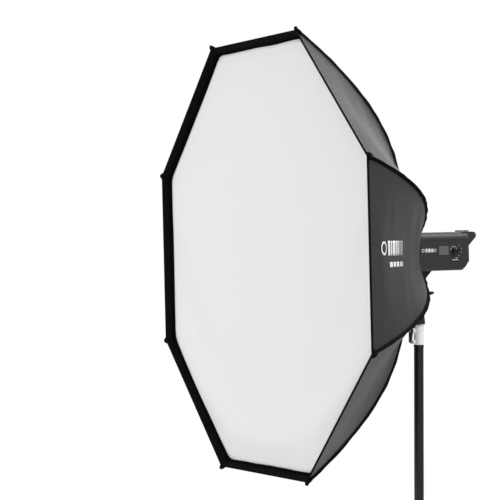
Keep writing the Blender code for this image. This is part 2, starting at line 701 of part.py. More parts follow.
def make_column_head():
    """The pale casting on the mast's top, its spigot and its locking lever."""
    top, bottom = AXIS_Z - 0.2400, AXIS_Z - 0.3070
    profile = [
        (0.0084, top), (0.0160, top), (0.0175, top - 0.0015), (0.0175, top - 0.0200),
        (0.0165, top - 0.0215), (0.0165, bottom), (0.0138, bottom), (0.0138, bottom - 0.0250),
        (0.0084, bottom - 0.0250),
    ]
    at_column = Matrix.Translation((0, COLUMN_Y, 0))
    head = turned("column_head", "white_metal", profile, at_column)
    boss = cylinder(
        "lever_boss", "white_metal", 0.0085, light(0, COLUMN_DEPTH - 0.013, -0.2600),
        light(0, COLUMN_DEPTH - 0.026, -0.2600), 16,
    )
    stud = cylinder(
        "lower_stud", "white_metal", 0.0065, light(0, COLUMN_DEPTH - 0.013, -0.2970),
        light(0, COLUMN_DEPTH - 0.025, -0.2970), 16,
    )
    spigot_hole = cylinder(
        "spigot_hole", "white_metal", 0.0084, (0, COLUMN_Y, top + 0.01), (0, COLUMN_Y, bottom - 0.030), 24
    )
    combine(head, "UNION", boss, stud)
    combine(head, "DIFFERENCE", spigot_hole)
    spigot_profile = [
        (0.0, AXIS_Z - 0.1980), (0.0070, AXIS_Z - 0.1980), (0.0080, AXIS_Z - 0.1990),
        (0.0080, AXIS_Z - 0.2100), (0.0068, AXIS_Z - 0.2115), (0.0068, AXIS_Z - 0.2185),
        (0.0080, AXIS_Z - 0.2200), (0.0080, bottom - 0.0240), (0.0, bottom - 0.0240),
    ]
    spigot = turned("spigot", "silver_metal", spigot_profile, at_column, steps=24, closed=False)
    lever_outline = arc((0, 0), 0.0095, 10, 170, 8) + arc((-0.004, -0.036), 0.0045, 190, 350, 5)
    lever_axes = Matrix(((1, 0, 0, 0), (0, 0, -1, 0), (0, 1, 0, 0), (0, 0, 0, 1)))
    lever_at = Matrix.Translation(light(0, COLUMN_DEPTH - 0.0265, -0.2600)) @ lever_axes
    lever = prism("column_lever", "black_plastic", lever_outline, 0.008, lever_at)
    return head, spigot, lever


def make_column():
    """The two telescoping tubes and the clamp collar where the upper one comes out."""
    at_column = Matrix.Translation((0, COLUMN_Y, 0))
    upper = tube("upper_tube", "black_metal", UPPER_TUBE, UPPER_BORE, MAST_BOTTOM, MAST_TOP, at_column)
    lower = tube("lower_tube", "black_metal", LOWER_TUBE, LOWER_BORE, LOWER_BOTTOM, LOWER_TOP, at_column)
    top, bottom = LOWER_TOP + 0.035, LOWER_TOP - 0.035
    profile = [
        (0.0220, top), (0.0245, top - 0.003), (0.0245, LOWER_TOP + 0.002), (0.0260, LOWER_TOP),
        (0.0260, bottom), (0.0194, bottom), (0.0194, LOWER_TOP + CLEARANCE),
        (0.0166, LOWER_TOP + CLEARANCE), (0.0166, top),
    ]
    collar = turned("mid_collar", "black_plastic", profile, at_column)
    boss = cylinder(
        "collar_boss", "black_plastic", 0.0100, (0.020, COLUMN_Y, LOWER_TOP + 0.017),
        (0.034, COLUMN_Y, LOWER_TOP + 0.017), 18,
    )
    combine(collar, "UNION", boss)
    return upper, lower, collar


def radial(angle, radius, sideways, z):
    """A point by the column: out along a leg's direction, sideways from it, at a height."""
    out = Vector((math.cos(angle), math.sin(angle), 0))
    side = Vector((-math.sin(angle), math.cos(angle), 0))
    return Vector((0, COLUMN_Y, z)) + out * radius + side * sideways


def leg_lean():
    """Angle of an open leg from straight down, from the triangle of leg, brace and column."""
    rise = CROWN_Z - SPIDER_Z
    cosine = (rise**2 + BRACE_AT**2 - BRACE_LENGTH**2) / (2 * rise * BRACE_AT)
    return math.acos(cosine)


def leg_point(angle, along, sideways=0.0):
    """A point on a leg's centre line, along it from its pivot."""
    lean = leg_lean()
    return radial(
        angle, PIVOT_RADIUS + along * math.sin(lean), sideways, CROWN_Z - along * math.cos(lean)
    )


def make_crown():
    """The sliding casting that the legs hang from, with a pair of pinned ears for each leg."""
    at_column = Matrix.Translation((0, COLUMN_Y, 0))
    profile = [
        (0.0255, CROWN_Z + 0.030), (0.0280, CROWN_Z + 0.027), (0.0280, CROWN_Z - 0.027),
        (0.0255, CROWN_Z - 0.030), (0.0198, CROWN_Z - 0.030), (0.0198, CROWN_Z + 0.030),
    ]
    crown = turned("leg_crown", "black_plastic", profile, at_column)
    for k, angle in enumerate(LEG_ANGLES):
        turn = Matrix.Rotation(angle, 4, "Z")
        for side in (-1, 1):
            centre = radial(angle, 0.0400, side * 0.0150, CROWN_Z)
            ear = box(f"crown_ear_{k}_{side}", "black_plastic", (0.032, 0.005, 0.026), centre, 0, turn)
            combine(crown, "UNION", ear)
        pin = cylinder(
            f"crown_pin_{k}", "black_plastic", 0.003, radial(angle, PIVOT_RADIUS, -0.0190, CROWN_Z),
            radial(angle, PIVOT_RADIUS, 0.0190, CROWN_Z), 12,
        )
        combine(crown, "UNION", pin)
    boss = cylinder(
        "crown_boss", "black_plastic", 0.010, radial(math.pi / 2, 0.024, 0, CROWN_Z),
        radial(math.pi / 2, 0.036, 0, CROWN_Z), 18,
    )
    return combine(crown, "UNION", boss)


def make_spider():
    """The fixed casting at the column's foot, with a tongue and a pin for each brace."""
    at_column = Matrix.Translation((0, COLUMN_Y, 0))
    low, high = SPIDER_Z - 0.028, SPIDER_Z + 0.022
    profile = [
        (0.0265, high), (0.0265, low + 0.004), (0.0225, low), (0.0, low),
        (0.0, LOWER_BOTTOM - CLEARANCE), (0.0194, LOWER_BOTTOM - CLEARANCE), (0.0194, high),
    ]
    spider = turned("leg_spider", "black_plastic", profile, at_column)
    for k, angle in enumerate(LEG_ANGLES):
        turn = Matrix.Rotation(angle, 4, "Z")
        centre = radial(angle, 0.0385, 0.0040, SPIDER_Z)
        tongue = box(f"tongue_{k}", "black_plastic", (0.030, 0.016, 0.022), centre, 0, turn)
        pin = cylinder(
            f"spider_pin_{k}", "black_plastic", 0.003, radial(angle, PIVOT_RADIUS, 0.010, SPIDER_Z),
            radial(angle, PIVOT_RADIUS, BRACE_FAR + 0.002, SPIDER_Z), 12,
        )
        cap = cylinder(
            f"pin_cap_{k}", "black_plastic", 0.006, radial(angle, PIVOT_RADIUS, BRACE_FAR + 0.0005, SPIDER_Z),
            radial(angle, PIVOT_RADIUS, BRACE_FAR + 0.0030, SPIDER_Z), 12,
        )
        combine(spider, "UNION", tongue, pin, cap)
    return spider


def make_leg(k, angle):
    """One leg tube with its pivot block, its brace stud and its rubber foot."""
    foot_z = FOOT_RADIUS - FOOT_FLAT
    length = (CROWN_Z - foot_z) / math.cos(leg_lean())
    along = towards(leg_point(angle, 0), leg_point(angle, length))
    profile = [
        (LEG_TUBE, length), (LEG_TUBE, 0.022), (LEG_TUBE - 0.0015, 0.022), (LEG_TUBE - 0.0015, length),
    ]
    leg = turned(f"leg_{k}", "black_metal", profile, along, steps=16)
    block = cylinder(
        f"knuckle_{k}", "black_metal", LEG_TUBE - 0.0005, leg_point(angle, 0, -LEG_TUBE),
        leg_point(angle, 0, LEG_TUBE), 16,
    )
    plug = cylinder(
        f"plug_{k}", "black_metal", LEG_TUBE - 0.0008, leg_point(angle, 0.004), leg_point(angle, 0.040), 16
    )
    stud = cylinder(
        f"stud_{k}", "black_metal", 0.005, leg_point(angle, BRACE_AT, LEG_TUBE - 0.0010),
        leg_point(angle, BRACE_AT, BRACE_NEAR - CLEARANCE), 12,
    )
    eye = cylinder(
        f"eye_{k}", "black_metal", 0.0035, leg_point(angle, 0, -0.02), leg_point(angle, 0, 0.02), 12
    )
    combine(leg, "UNION", plug, block, stud)
    combine(leg, "DIFFERENCE", eye)
    foot_profile = (
        [(FOOT_RADIUS - 0.002, -0.040), (FOOT_RADIUS, -0.036)]
        + [(x, -y) for x, y in arc((0, 0), FOOT_RADIUS, 0, -90, 5)]
        + [(0.0, CLEARANCE), (LEG_TUBE + 0.0006, CLEARANCE), (LEG_TUBE + 0.0006, -0.040)]
    )
    foot_at = along @ Matrix.Translation((0, 0, length))
    foot = turned(f"foot_{k}", "rubber", foot_profile, foot_at, steps=16)
    floor = box(f"floor_{k}", "rubber", (0.08, 0.08, 0.02), radial(angle, leg_reach(), 0, -0.010))
    combine(foot, "DIFFERENCE", floor)
    return leg, foot


def leg_reach():
    """Distance of a foot from the column's axis."""
    return PIVOT_RADIUS + (CROWN_Z - FOOT_RADIUS + FOOT_FLAT) * math.tan(leg_lean())


def make_brace(k, angle):
    """The flat bar from the spider to a leg, with a rivet head at its outer end."""
    inner = radial(angle, PIVOT_RADIUS, BRACE_NEAR, SPIDER_Z)
    outer = leg_point(angle, BRACE_AT, BRACE_NEAR)
    half = 0.008
    length = (outer - inner).length
    outline = arc((0, 0), half, 90, 270, 8) + arc((length, 0), half, -90, 90, 8)
    out = (outer - inner).normalized()
    side = Vector((-math.sin(angle), math.cos(angle), 0))
    up = side.cross(out)
    matrix = Matrix.Translation(inner) @ Matrix((
        (out.x, up.x, side.x, 0), (out.y, up.y, side.y, 0), (out.z, up.z, side.z, 0), (0, 0, 0, 1),
    ))
    brace = prism(f"brace_{k}", "black_metal", outline, BRACE_FAR - BRACE_NEAR, matrix)
    rivet = cylinder(
        f"rivet_{k}", "black_metal", 0.006, outer + side * 0.0035, outer + side * 0.0065, 12
    )
    eye = cylinder(f"brace_eye_{k}", "black_metal", 0.0035, inner - side * 0.01, inner + side * 0.01, 12)
    combine(brace, "UNION", rivet)
    return combine(brace, "DIFFERENCE", eye)


def make_softbox():
    """Everything that turns with the ring, and the adapter that it turns on."""
    pieces = [make_half_shell("shell_upper", FIRST_TIP), make_half_shell("shell_lower", FIRST_TIP + math.pi)]
    pieces.append(make_lip())
    pieces.append(octagon_sheet("front_diffuser", DIFFUSER_RADIUS, DIFFUSER_DEPTH, 0.0015))
    pieces.append(octagon_sheet("inner_baffle", BAFFLE_RADIUS, BAFFLE_DEPTH, 0.0015))
    pieces += make_rods()
    pieces.append(make_speedring())
    pieces.append(make_thumbscrew())
    return group("softbox_turns_here", pieces, light(0, RING_BACK, 0)), make_adapter()


def make_head(carried):
    """The flash head with its controls, what is inside it and what it carries, set to look down."""
    window, dial, buttons = make_controls()
    rocker, inlet, sensor = make_rear_fittings()
    fixed = [make_casing(), make_rear_cover(), make_mount_ring(), window, inlet, sensor, make_yoke()]
    fixed += make_lamp_parts()
    fixed += make_inner_parts()
    fixed += [dial, *buttons, rocker, make_release(), *carried]
    head = group("head_tilts_here", fixed, light(0, COLUMN_DEPTH, PIVOT_UP))
    head.rotation_euler.x = REST_TILT


def make_stand():
    """The receiver, the mast, the column and the folding legs."""
    receiver = make_receiver()
    bolt, lever = make_tilt_lock()
    group("receiver_turns_here", [receiver, bolt], light(0, COLUMN_DEPTH, PIVOT_UP))
    t_knob("receiver_knob", light(-0.0090, COLUMN_DEPTH, -0.215), (-1, 0, 0), length=0.034)
    head, spigot, column_lever = make_column_head()
    upper, lower, collar = make_column()
    group("mast_slides_here", [head, spigot, upper], (0, COLUMN_Y, LOWER_TOP))
    t_knob("mid_knob", (0.0345, COLUMN_Y, LOWER_TOP + 0.017), (1, 0, 0))
    make_crown()
    t_knob("crown_knob", radial(math.pi / 2, 0.0365, 0, CROWN_Z), (0, 1, 0))
    make_spider()
    for k, angle in enumerate(LEG_ANGLES, start=1):
        leg, foot = make_leg(k, angle)
        group(f"leg_{k}_folds_here", [leg, foot], leg_point(angle, 0))
        make_brace(k, angle)


make_head(make_softbox())
make_stand()
bpy.context.view_layer.update()
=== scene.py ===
"""The looks of an octagonal studio softbox, its flash head and its column stand.

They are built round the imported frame. Every length is in metres, in the frame's own axes: +Z up,
and the light shines towards -Y.
"""

import json
import logging
import math
from dataclasses import dataclass, field
from enum import Enum
from typing import Callable, Iterable, Sequence

import bmesh
import bpy
import numpy as np
from mathutils import Matrix, Vector, noise

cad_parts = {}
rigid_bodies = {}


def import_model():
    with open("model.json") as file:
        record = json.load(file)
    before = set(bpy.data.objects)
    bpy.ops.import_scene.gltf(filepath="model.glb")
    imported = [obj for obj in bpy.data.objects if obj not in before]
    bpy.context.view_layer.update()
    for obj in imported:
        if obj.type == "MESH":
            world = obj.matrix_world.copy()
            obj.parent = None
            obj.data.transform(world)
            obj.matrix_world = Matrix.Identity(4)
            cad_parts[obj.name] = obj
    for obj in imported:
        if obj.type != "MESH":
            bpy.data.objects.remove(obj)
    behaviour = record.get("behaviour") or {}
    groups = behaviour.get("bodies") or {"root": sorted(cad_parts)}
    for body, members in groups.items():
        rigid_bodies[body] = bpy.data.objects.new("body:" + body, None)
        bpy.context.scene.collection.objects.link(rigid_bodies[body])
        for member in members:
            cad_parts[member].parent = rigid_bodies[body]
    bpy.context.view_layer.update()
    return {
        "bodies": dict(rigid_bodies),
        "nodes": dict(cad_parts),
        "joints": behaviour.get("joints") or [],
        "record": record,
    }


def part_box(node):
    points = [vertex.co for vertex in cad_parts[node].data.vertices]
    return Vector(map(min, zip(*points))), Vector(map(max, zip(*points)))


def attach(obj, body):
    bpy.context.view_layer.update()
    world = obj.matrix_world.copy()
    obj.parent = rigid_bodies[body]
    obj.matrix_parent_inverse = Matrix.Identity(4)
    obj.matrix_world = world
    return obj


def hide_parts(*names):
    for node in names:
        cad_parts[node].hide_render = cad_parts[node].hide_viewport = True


log = logging.getLogger("softbox")

Point = tuple[float, float]
Colour = tuple[float, float, float]

MM = 0.001
SIDES = 8
FIRST_CORNER = math.pi / SIDES
AXIS_HEIGHT = 1.680  # the light's axis, above the floor
PIVOT_RADIUS = 0.045  # the legs' pivots, from the column's axis
BRACE_PIN = 0.336  # the pin of a brace, along its leg
DENT_RADIUS = 0.28  # where the seams sag most, from the light's axis
DENT_SPREAD = 0.13
WEAVE_UV = "weave"


class Body(Enum):
    """The frame's bodies that pieces ride on."""

    SOFTBOX = "softbox"
    HEAD = "flash_head"
    RECEIVER = "receiver"
    MAST = "mast"
    BASE = "column_base"
    CROWN = "crown"


class Slot(Enum):
    """The record's material slots."""

    SHELL = "shell_cloth"
    BAND = "rim_band"
    DIFFUSER = "diffuser_cloth"
    SILVER = "silver_lining"
    ROD = "rod_fibre"
    RING = "ring_metal"
    MOUNT = "mount_metal"
    STAND = "stand_metal"
    JOINT = "joint_plastic"
    HEAD = "head_plastic"
    CONTROL = "control_plastic"
    DISPLAY = "display_plastic"
    PRINT = "printed_white"
    COLUMN = "column_metal"
    STEEL = "spigot_steel"
    GLASS = "lamp_glass"
    CERAMIC = "lamp_ceramic"
    CAPACITOR = "capacitor_can"
    BOARD = "board_green"
    RUBBER = "foot_rubber"


# Shader graphs ------------------------------------------------------------------------------------


class Signal:
    """A number that changes over a surface: an output socket whose arithmetic adds Math nodes."""

    def __init__(self, graph: "Graph", socket: bpy.types.NodeSocket) -> None:
        """Wraps one output socket of a graph.

        Args:
            graph: the graph that the socket is in.
            socket: the output socket.
        """
        self.graph = graph
        self.socket = socket

    def _math(self, operation: str, *values: "Signal | float") -> "Signal":
        """Adds a Math node.

        Args:
            operation: the node's operation.
            values: its inputs in order, signals or plain numbers.

        Returns:
            The node's output.
        """
        sockets = dict(enumerate(values))
        node = self.graph.node("ShaderNodeMath", {"operation": operation}, sockets)
        return Signal(self.graph, node.outputs[0])

    def __add__(self, other: "Signal | float") -> "Signal":
        """Self plus other."""
        return self._math("ADD", self, other)

    __radd__ = __add__

    def __sub__(self, other: "Signal | float") -> "Signal":
        """Self less other."""
        return self._math("SUBTRACT", self, other)

    def __rsub__(self, other: "Signal | float") -> "Signal":
        """Other less self."""
        return self._math("SUBTRACT", other, self)

    def __mul__(self, other: "Signal | float") -> "Signal":
        """Self times other."""
        return self._math("MULTIPLY", self, other)

    __rmul__ = __mul__

    def __truediv__(self, other: "Signal | float") -> "Signal":
        """Self over other."""
        return self._math("DIVIDE", self, other)

    def __pow__(self, other: "Signal | float") -> "Signal":
        """Self to the power of other."""
        return self._math("POWER", self, other)

    def __abs__(self) -> "Signal":
        """The size of self, without its sign."""
        return self._math("ABSOLUTE", self)

    def below(self, limit: "Signal | float") -> "Signal":
        """One where self is less than the limit, and zero elsewhere."""
        return self._math("LESS_THAN", self, limit)

    def wave(self, pitch: float) -> "Signal":
        """A sine wave from -1 to 1 along self, one cycle a pitch."""
        return self._math("SINE", self * (2 * math.pi / pitch))

    def saw(self, pitch: float) -> "Signal":
        """How far self is through its present pitch, from 0 to pitch."""
        return self._math("FLOORED_MODULO", self, pitch)

    def clamped(self) -> "Signal":
        """Self held between 0 and 1."""
        node = self.graph.node("ShaderNodeClamp", {}, {"Value": self, "Min": 0.0, "Max": 1.0})
        return Signal(self.graph, node.outputs[0])


class Graph:
    """One material's nodes, round its Principled shader."""

    def __init__(self, name: str) -> None:
        """Starts a material.

        Args:
            name: the material's name.
        """
        self.material = bpy.data.materials.new(name)
        self.material.use_nodes = True
        self.tree = self.material.node_tree
        self.shader = self.tree.nodes["Principled BSDF"]

    def node(
        self, kind: str, settings: dict[str, object], sockets: dict[str | int, object]
    ) -> bpy.types.Node:
        """Adds any node.

        Args:
            kind: the node's type, such as ShaderNodeTexNoise.
            settings: what is set on the node first. A colour ramp's stops are (place, grey) pairs.
            sockets: input name or number to a signal, an output socket or a plain value.

        Returns:
            The node.
        """
        made = self.tree.nodes.new(kind)
        for name, value in settings.items():
            if name != "stops":
                setattr(made, name, value)
                continue
            ramp = made.color_ramp
            while len(ramp.elements) < len(value):
                ramp.elements.new(0.5)
            for element, (place, grey) in zip(ramp.elements, value):
                element.position = place
                element.color = (grey, grey, grey, 1.0)
        for name, value in sockets.items():
            self.link(made.inputs[name], value)
        return made

    def link(self, target: bpy.types.NodeSocket, value: object) -> None:
        """Sets an input socket.

        Args:
            target: the input socket.
            value: a signal or an output socket to link, or a plain value. A colour may have three parts.
        """
        if isinstance(value, Signal):
            value = value.socket
        if isinstance(value, bpy.types.NodeSocket):
            self.tree.links.new(value, target)
        elif isinstance(value, tuple) and len(value) == 3 and target.type == "RGBA":
            target.default_value = (*value, 1.0)
        else:
            target.default_value = value

    def place(self) -> bpy.types.NodeSocket:
        """The point on the object, in metres."""
        return self.node("ShaderNodeTexCoord", {}, {}).outputs["Object"]

    def weave(self) -> bpy.types.NodeSocket:
        """The point on the flat cloth, in metres."""
        return self.node("ShaderNodeUVMap", {"uv_map": WEAVE_UV}, {}).outputs["UV"]

    def axes(self, vector: bpy.types.NodeSocket) -> tuple[Signal, Signal, Signal]:
        """The three parts of a vector."""
        split = self.node("ShaderNodeSeparateXYZ", {}, {"Vector": vector})
        return tuple(Signal(self, out) for out in split.outputs)

    def stretched(
        self, vector: bpy.types.NodeSocket, scale: tuple[float, float, float]
    ) -> bpy.types.NodeSocket:
        """The vector with each part multiplied by its own number."""
        settings = {"operation": "MULTIPLY"}
        return self.node("ShaderNodeVectorMath", settings, {0: vector, 1: scale}).outputs[0]

    def noise(self, vector: bpy.types.NodeSocket, scale: float, detail: float = 3.0) -> Signal:
        """Soft noise from 0 to 1.

        Args:
            vector: where on the surface.
            scale: features a metre.
            detail: how many finer layers it has.

        Returns:
            The noise.
        """
        sockets = {"Vector": vector, "Scale": scale, "Detail": detail}
        return Signal(self, self.node("ShaderNodeTexNoise", {}, sockets).outputs["Fac"])

    def grain(self, vector: bpy.types.NodeSocket, scale: float) -> Signal:
        """The pebbled texture of a moulded surface, from 0 to 1."""
        sockets = {"Vector": vector, "Scale": scale}
        found = self.node("ShaderNodeTexVoronoi", {"feature": "SMOOTH_F1"}, sockets)
        return Signal(self, found.outputs["Distance"])

    def curve(self, value: Signal, *stops: Point) -> Signal:
        """The value passed through a ramp of (place, height) stops."""
        ramp = self.node("ShaderNodeValToRGB", {"stops": stops}, {"Fac": value})
        return Signal(self, ramp.outputs["Color"])

    def mix(self, factor: Signal, first: object, second: object) -> bpy.types.NodeSocket:
        """A colour between two.

        Args:
            factor: 0 for the first colour and 1 for the second.
            first: a colour or an output socket.
            second: a colour or an output socket.

        Returns:
            The mixed colour.
        """
        settings = {"data_type": "RGBA"}
        made = self.node("ShaderNodeMix", settings, {"Factor": factor})
        self.link(made.inputs[6], first)
        self.link(made.inputs[7], second)
        return made.outputs[2]

    def bump(self, height: Signal, depth: float, under: object = None) -> bpy.types.NodeSocket:
        """A bumped normal.

        Args:
            height: the relief, from 0 to 1.
            depth: how many metres the relief stands for.
            under: a normal from another bump to add to.

        Returns:
            The normal.
        """
        sockets = {"Height": height, "Distance": depth, "Strength": 1.0}
        if under is not None:
            sockets["Normal"] = under
        return self.node("ShaderNodeBump", {}, sockets).outputs["Normal"]

    def finish(self, **sockets: object) -> bpy.types.Material:
        """Sets the Principled shader's sockets, named with _ for a space.

        Args:
            sockets: socket name to a signal, an output socket or a plain value.

        Returns:
            The material.
        """
        for name, value in sockets.items():
            self.link(self.shader.inputs[name.replace("_", " ").title().replace("Ior", "IOR")], value)
        return self.material


def once(make: Callable[..., bpy.types.Material]) -> Callable[..., bpy.types.Material]:
    """Keeps a finish's material, so that equal finishes share one.

    Args:
        make: the finish's own method that builds a material.

    Returns:
        The method that looks for a built one first.
    """
    built: dict[object, bpy.types.Material] = {}

    def found(finish: object) -> bpy.types.Material:
        """The finish's material, built the first time."""
        if finish not in built:
            built[finish] = make(finish)
        return built[finish]

    return found


@dataclass(frozen=True)
class CoatedCloth:
    """Black nylon with a coating: a fine plain weave, a faint ripstop grid and soft creases."""

    name: str
    colour: Colour
    roughness: float = 0.42
    thread: float = 1.1 * MM
    grid: float = 9 * MM
    crease: float = 1.4 * MM

    @once
    def material(self) -> bpy.types.Material:
        """Builds the material."""
        graph = Graph(self.name)
        cloth = graph.weave()
        along, across, _ = graph.axes(cloth)
        # Creases run across the gores, from rod to rod, so the noise is long that way
        folds = graph.noise(graph.stretched(cloth, (3.0, 12.0, 1.0)), 1.0, 3.0)
        fine = graph.noise(graph.stretched(cloth, (22.0, 60.0, 1.0)), 1.0, 3.0)
        threads = (along.wave(self.thread) * across.wave(self.thread)) * 0.5 + 0.5
        ribs = (along.saw(self.grid).below(0.6 * MM) + across.saw(self.grid).below(0.6 * MM)).clamped()
        dust = graph.noise(cloth, 7.0, 5.0)
        # The cloth is painted paler where the crease relief stands highest and darker in its hollows, following
        # the bump's own noise.
        crest_tone = graph.curve(folds * 0.6 + fine * 0.4, (0.35, 0.0), (0.75, 1.0))
        paler = tuple(min(1.0, part * 1.55 + 0.004) for part in self.colour)
        tone = graph.mix(crest_tone * 0.45 + dust * 0.35, self.colour, paler)
        normal = graph.bump(folds, self.crease * 1.5)
        normal = graph.bump(fine, self.crease * 0.12, normal)
        normal = graph.bump(threads * 0.6 + ribs * 0.5, 0.12 * MM, normal)
        return graph.finish(
            base_color=tone,
            roughness=(dust * 0.16 + ribs * 0.05 + (self.roughness - 0.08)).clamped(),
            specular_ior_level=0.50,
            sheen_weight=0.04,
            sheen_roughness=0.30,
            normal=normal,
        )


@dataclass(frozen=True)
class Webbing:
    """Black woven tape: loop tape, binding and webbing, with two rows of stitches."""

    name: str
    colour: Colour
    half_width: float = 13 * MM
    stitch: float = 4 * MM

    @once
    def material(self) -> bpy.types.Material:
        """Builds the material."""
        graph = Graph(self.name)
        cloth = graph.weave()
        across, along, _ = graph.axes(cloth)
        ribs = along.wave(1.6 * MM) * 0.5 + 0.5
        pile = graph.noise(cloth, 900.0, 3.0)
        row = (abs(abs(across) - (self.half_width - 2.5 * MM))).below(0.55 * MM)
        stitches = row * along.saw(self.stitch).below(self.stitch * 0.68)
        patch = graph.noise(cloth, 16.0, 4.0)
        base = graph.mix(patch * pile * 1.6, self.colour, tuple(c * 2.4 for c in self.colour))
        base = graph.mix(stitches, base, (0.018, 0.018, 0.020))
        normal = graph.bump(pile, 0.35 * MM)
        normal = graph.bump(ribs * 0.5 + stitches, 0.30 * MM, normal)
        roughness = (patch * 0.1 + 0.88).clamped()
        return graph.finish(base_color=base, roughness=roughness, specular_ior_level=0.04, normal=normal)


@dataclass(frozen=True)
class DiffuserCloth:
    """White ripstop, shown opaque, a little soiled in patches."""

    name: str
    colour: Colour

    @once
    def material(self) -> bpy.types.Material:
        """Builds the material."""
        graph = Graph(self.name)
        cloth = graph.weave()
        along, across, _ = graph.axes(cloth)
        grid = (along.saw(6 * MM).below(0.5 * MM) + across.saw(6 * MM).below(0.5 * MM)).clamped()
        threads = along.wave(0.8 * MM) * across.wave(0.8 * MM) * 0.5 + 0.5
        marks = graph.curve(graph.noise(cloth, 4.2, 6.0), (0.62, 0.0), (0.78, 1.0))
        soft = graph.noise(cloth, 2.2, 2.0)
        greyer = tuple(part * 0.93 for part in self.colour)
        base = graph.mix(marks * 0.30 + soft * 0.12, self.colour, greyer)
        normal = graph.bump(graph.noise(cloth, 9.0, 3.0), 0.8 * MM)
        normal = graph.bump(grid * 0.6 + threads * 0.3, 0.08 * MM, normal)
        return graph.finish(base_color=base, roughness=(soft * 0.1 + 0.72).clamped(), normal=normal)


@dataclass(frozen=True)
class SilverLining:
    """The cloth's reflective inner side: a crinkled metallic coating."""

    name: str
    colour: Colour

    @once
    def material(self) -> bpy.types.Material:
        """Builds the material."""
        graph = Graph(self.name)
        cloth = graph.weave()
        crinkle = graph.grain(cloth, 130.0)
        cloud = graph.noise(cloth, 14.0, 4.0)
        base = graph.mix(cloud, self.colour, tuple(part * 0.8 for part in self.colour))
        return graph.finish(
            base_color=base,
            metallic=0.85,
            roughness=(cloud * 0.15 + 0.28).clamped(),
            normal=graph.bump(crinkle, 0.5 * MM),
        )


@dataclass(frozen=True)
class Moulded:
    """Moulded plastic: pebbled texture, faint flow marks, and a duller film of handling."""

    name: str
    colour: Colour
    roughness: float = 0.46
    pebbles: float = 1400.0
    relief: float = 0.06 * MM
    coat: float = 0.0

    @once
    def material(self) -> bpy.types.Material:
        """Builds the material."""
        graph = Graph(self.name)
        place = graph.place()
        pebble = graph.grain(place, self.pebbles)
        film = graph.noise(place, 22.0, 5.0)
        specks = graph.curve(graph.noise(place, 420.0, 2.0), (0.66, 0.0), (0.74, 1.0))
        paler = tuple(min(1.0, part * 1.35 + 0.003) for part in self.colour)
        base = graph.mix(film * 0.5 + specks * 0.25, self.colour, paler)
        return graph.finish(
            base_color=base,
            roughness=(film * 0.14 + specks * 0.1 + (self.roughness - 0.07)).clamped(),
            specular_ior_level=0.35,
            coat_weight=self.coat,
            normal=graph.bump(pebble, self.relief),
        )


@dataclass(frozen=True)
class Metal:
    """Metal, bare or anodised: fine lines along one axis, cloudy gloss, and small scuffs."""

    name: str
    colour: Colour
    roughness: float = 0.32
    metallic: float = 1.0
    lines: tuple[float, float, float] = (700.0, 700.0, 12.0)

    @once
    def material(self) -> bpy.types.Material:
        """Builds the material."""
        graph = Graph(self.name)
        place = graph.place()
        drawn = graph.noise(graph.stretched(place, self.lines), 1.0, 2.0)
        cloud = graph.noise(place, 18.0, 4.0)
        scuffs = graph.noise(graph.stretched(place, (60.0, 60.0, 260.0)), 1.0, 3.0)
        scuffs = graph.curve(scuffs, (0.66, 0.0), (0.72, 1.0))
        paler = tuple(min(1.0, part * 1.3 + 0.006) for part in self.colour)
        base = graph.mix(scuffs * 0.5 + cloud * 0.25, self.colour, paler)
        return graph.finish(
            base_color=base,
            metallic=self.metallic,
            roughness=(cloud * 0.14 + scuffs * 0.15 + (self.roughness - 0.07)).clamped(),
            normal=graph.bump(drawn, 0.02 * MM),
        )


@dataclass(frozen=True)
class Rubber:
    """Matt rubber, with patches of dust."""

    name: str
    colour: Colour

    @once
    def material(self) -> bpy.types.Material:
        """Builds the material."""
        graph = Graph(self.name)
        place = graph.place()
        dust = graph.noise(place, 45.0, 6.0)
        base = graph.mix(dust * 0.6, self.colour, tuple(part * 2.6 + 0.01 for part in self.colour))
        normal = graph.bump(graph.grain(place, 900.0), 0.08 * MM)
        return graph.finish(base_color=base, roughness=(dust * 0.2 + 0.7).clamped(), normal=normal)


@dataclass(frozen=True)
class Printed:
    """Screen-printed ink on cloth or plastic, slightly broken by what is under it."""

    name: str
    colour: Colour
    roughness: float = 0.6

    @once
    def material(self) -> bpy.types.Material:
        """Builds the material."""
        graph = Graph(self.name)
        place = graph.place()
        thin = graph.curve(graph.noise(place, 160.0, 4.0), (0.55, 0.0), (0.8, 1.0))
        base = graph.mix(thin * 0.5, self.colour, tuple(part * 0.7 for part in self.colour))
        normal = graph.bump(graph.noise(place, 700.0, 2.0), 0.03 * MM)
        return graph.finish(base_color=base, roughness=(thin * 0.1 + self.roughness).clamped(), normal=normal)


@dataclass(frozen=True)
class Glass:
    """Clear glass with a faint film, so that what is behind shows through."""

    name: str
    colour: Colour
    roughness: float = 0.04

    @once
    def material(self) -> bpy.types.Material:
        """Builds the material."""
        graph = Graph(self.name)
        film = graph.noise(graph.place(), 30.0, 3.0)
        return graph.finish(
            base_color=graph.mix(film, self.colour, tuple(part * 0.9 for part in self.colour)),
            roughness=(film * 0.06 + self.roughness).clamped(),
            transmission_weight=0.9,
            ior=1.47,
        )


@dataclass(frozen=True)
class Floor:
    """A pale painted floor with a very soft unevenness."""

    name: str
    colour: Colour

    @once
    def material(self) -> bpy.types.Material:
        """Builds the material."""
        graph = Graph(self.name)
        place = graph.place()
        cloud = graph.noise(place, 1.3, 4.0)
        base = graph.mix(cloud * 0.4, self.colour, tuple(part * 0.96 for part in self.colour))
        normal = graph.bump(graph.noise(place, 60.0, 3.0), 0.2 * MM)
        return graph.finish(base_color=base, roughness=(cloud * 0.1 + 0.6).clamped(), normal=normal)


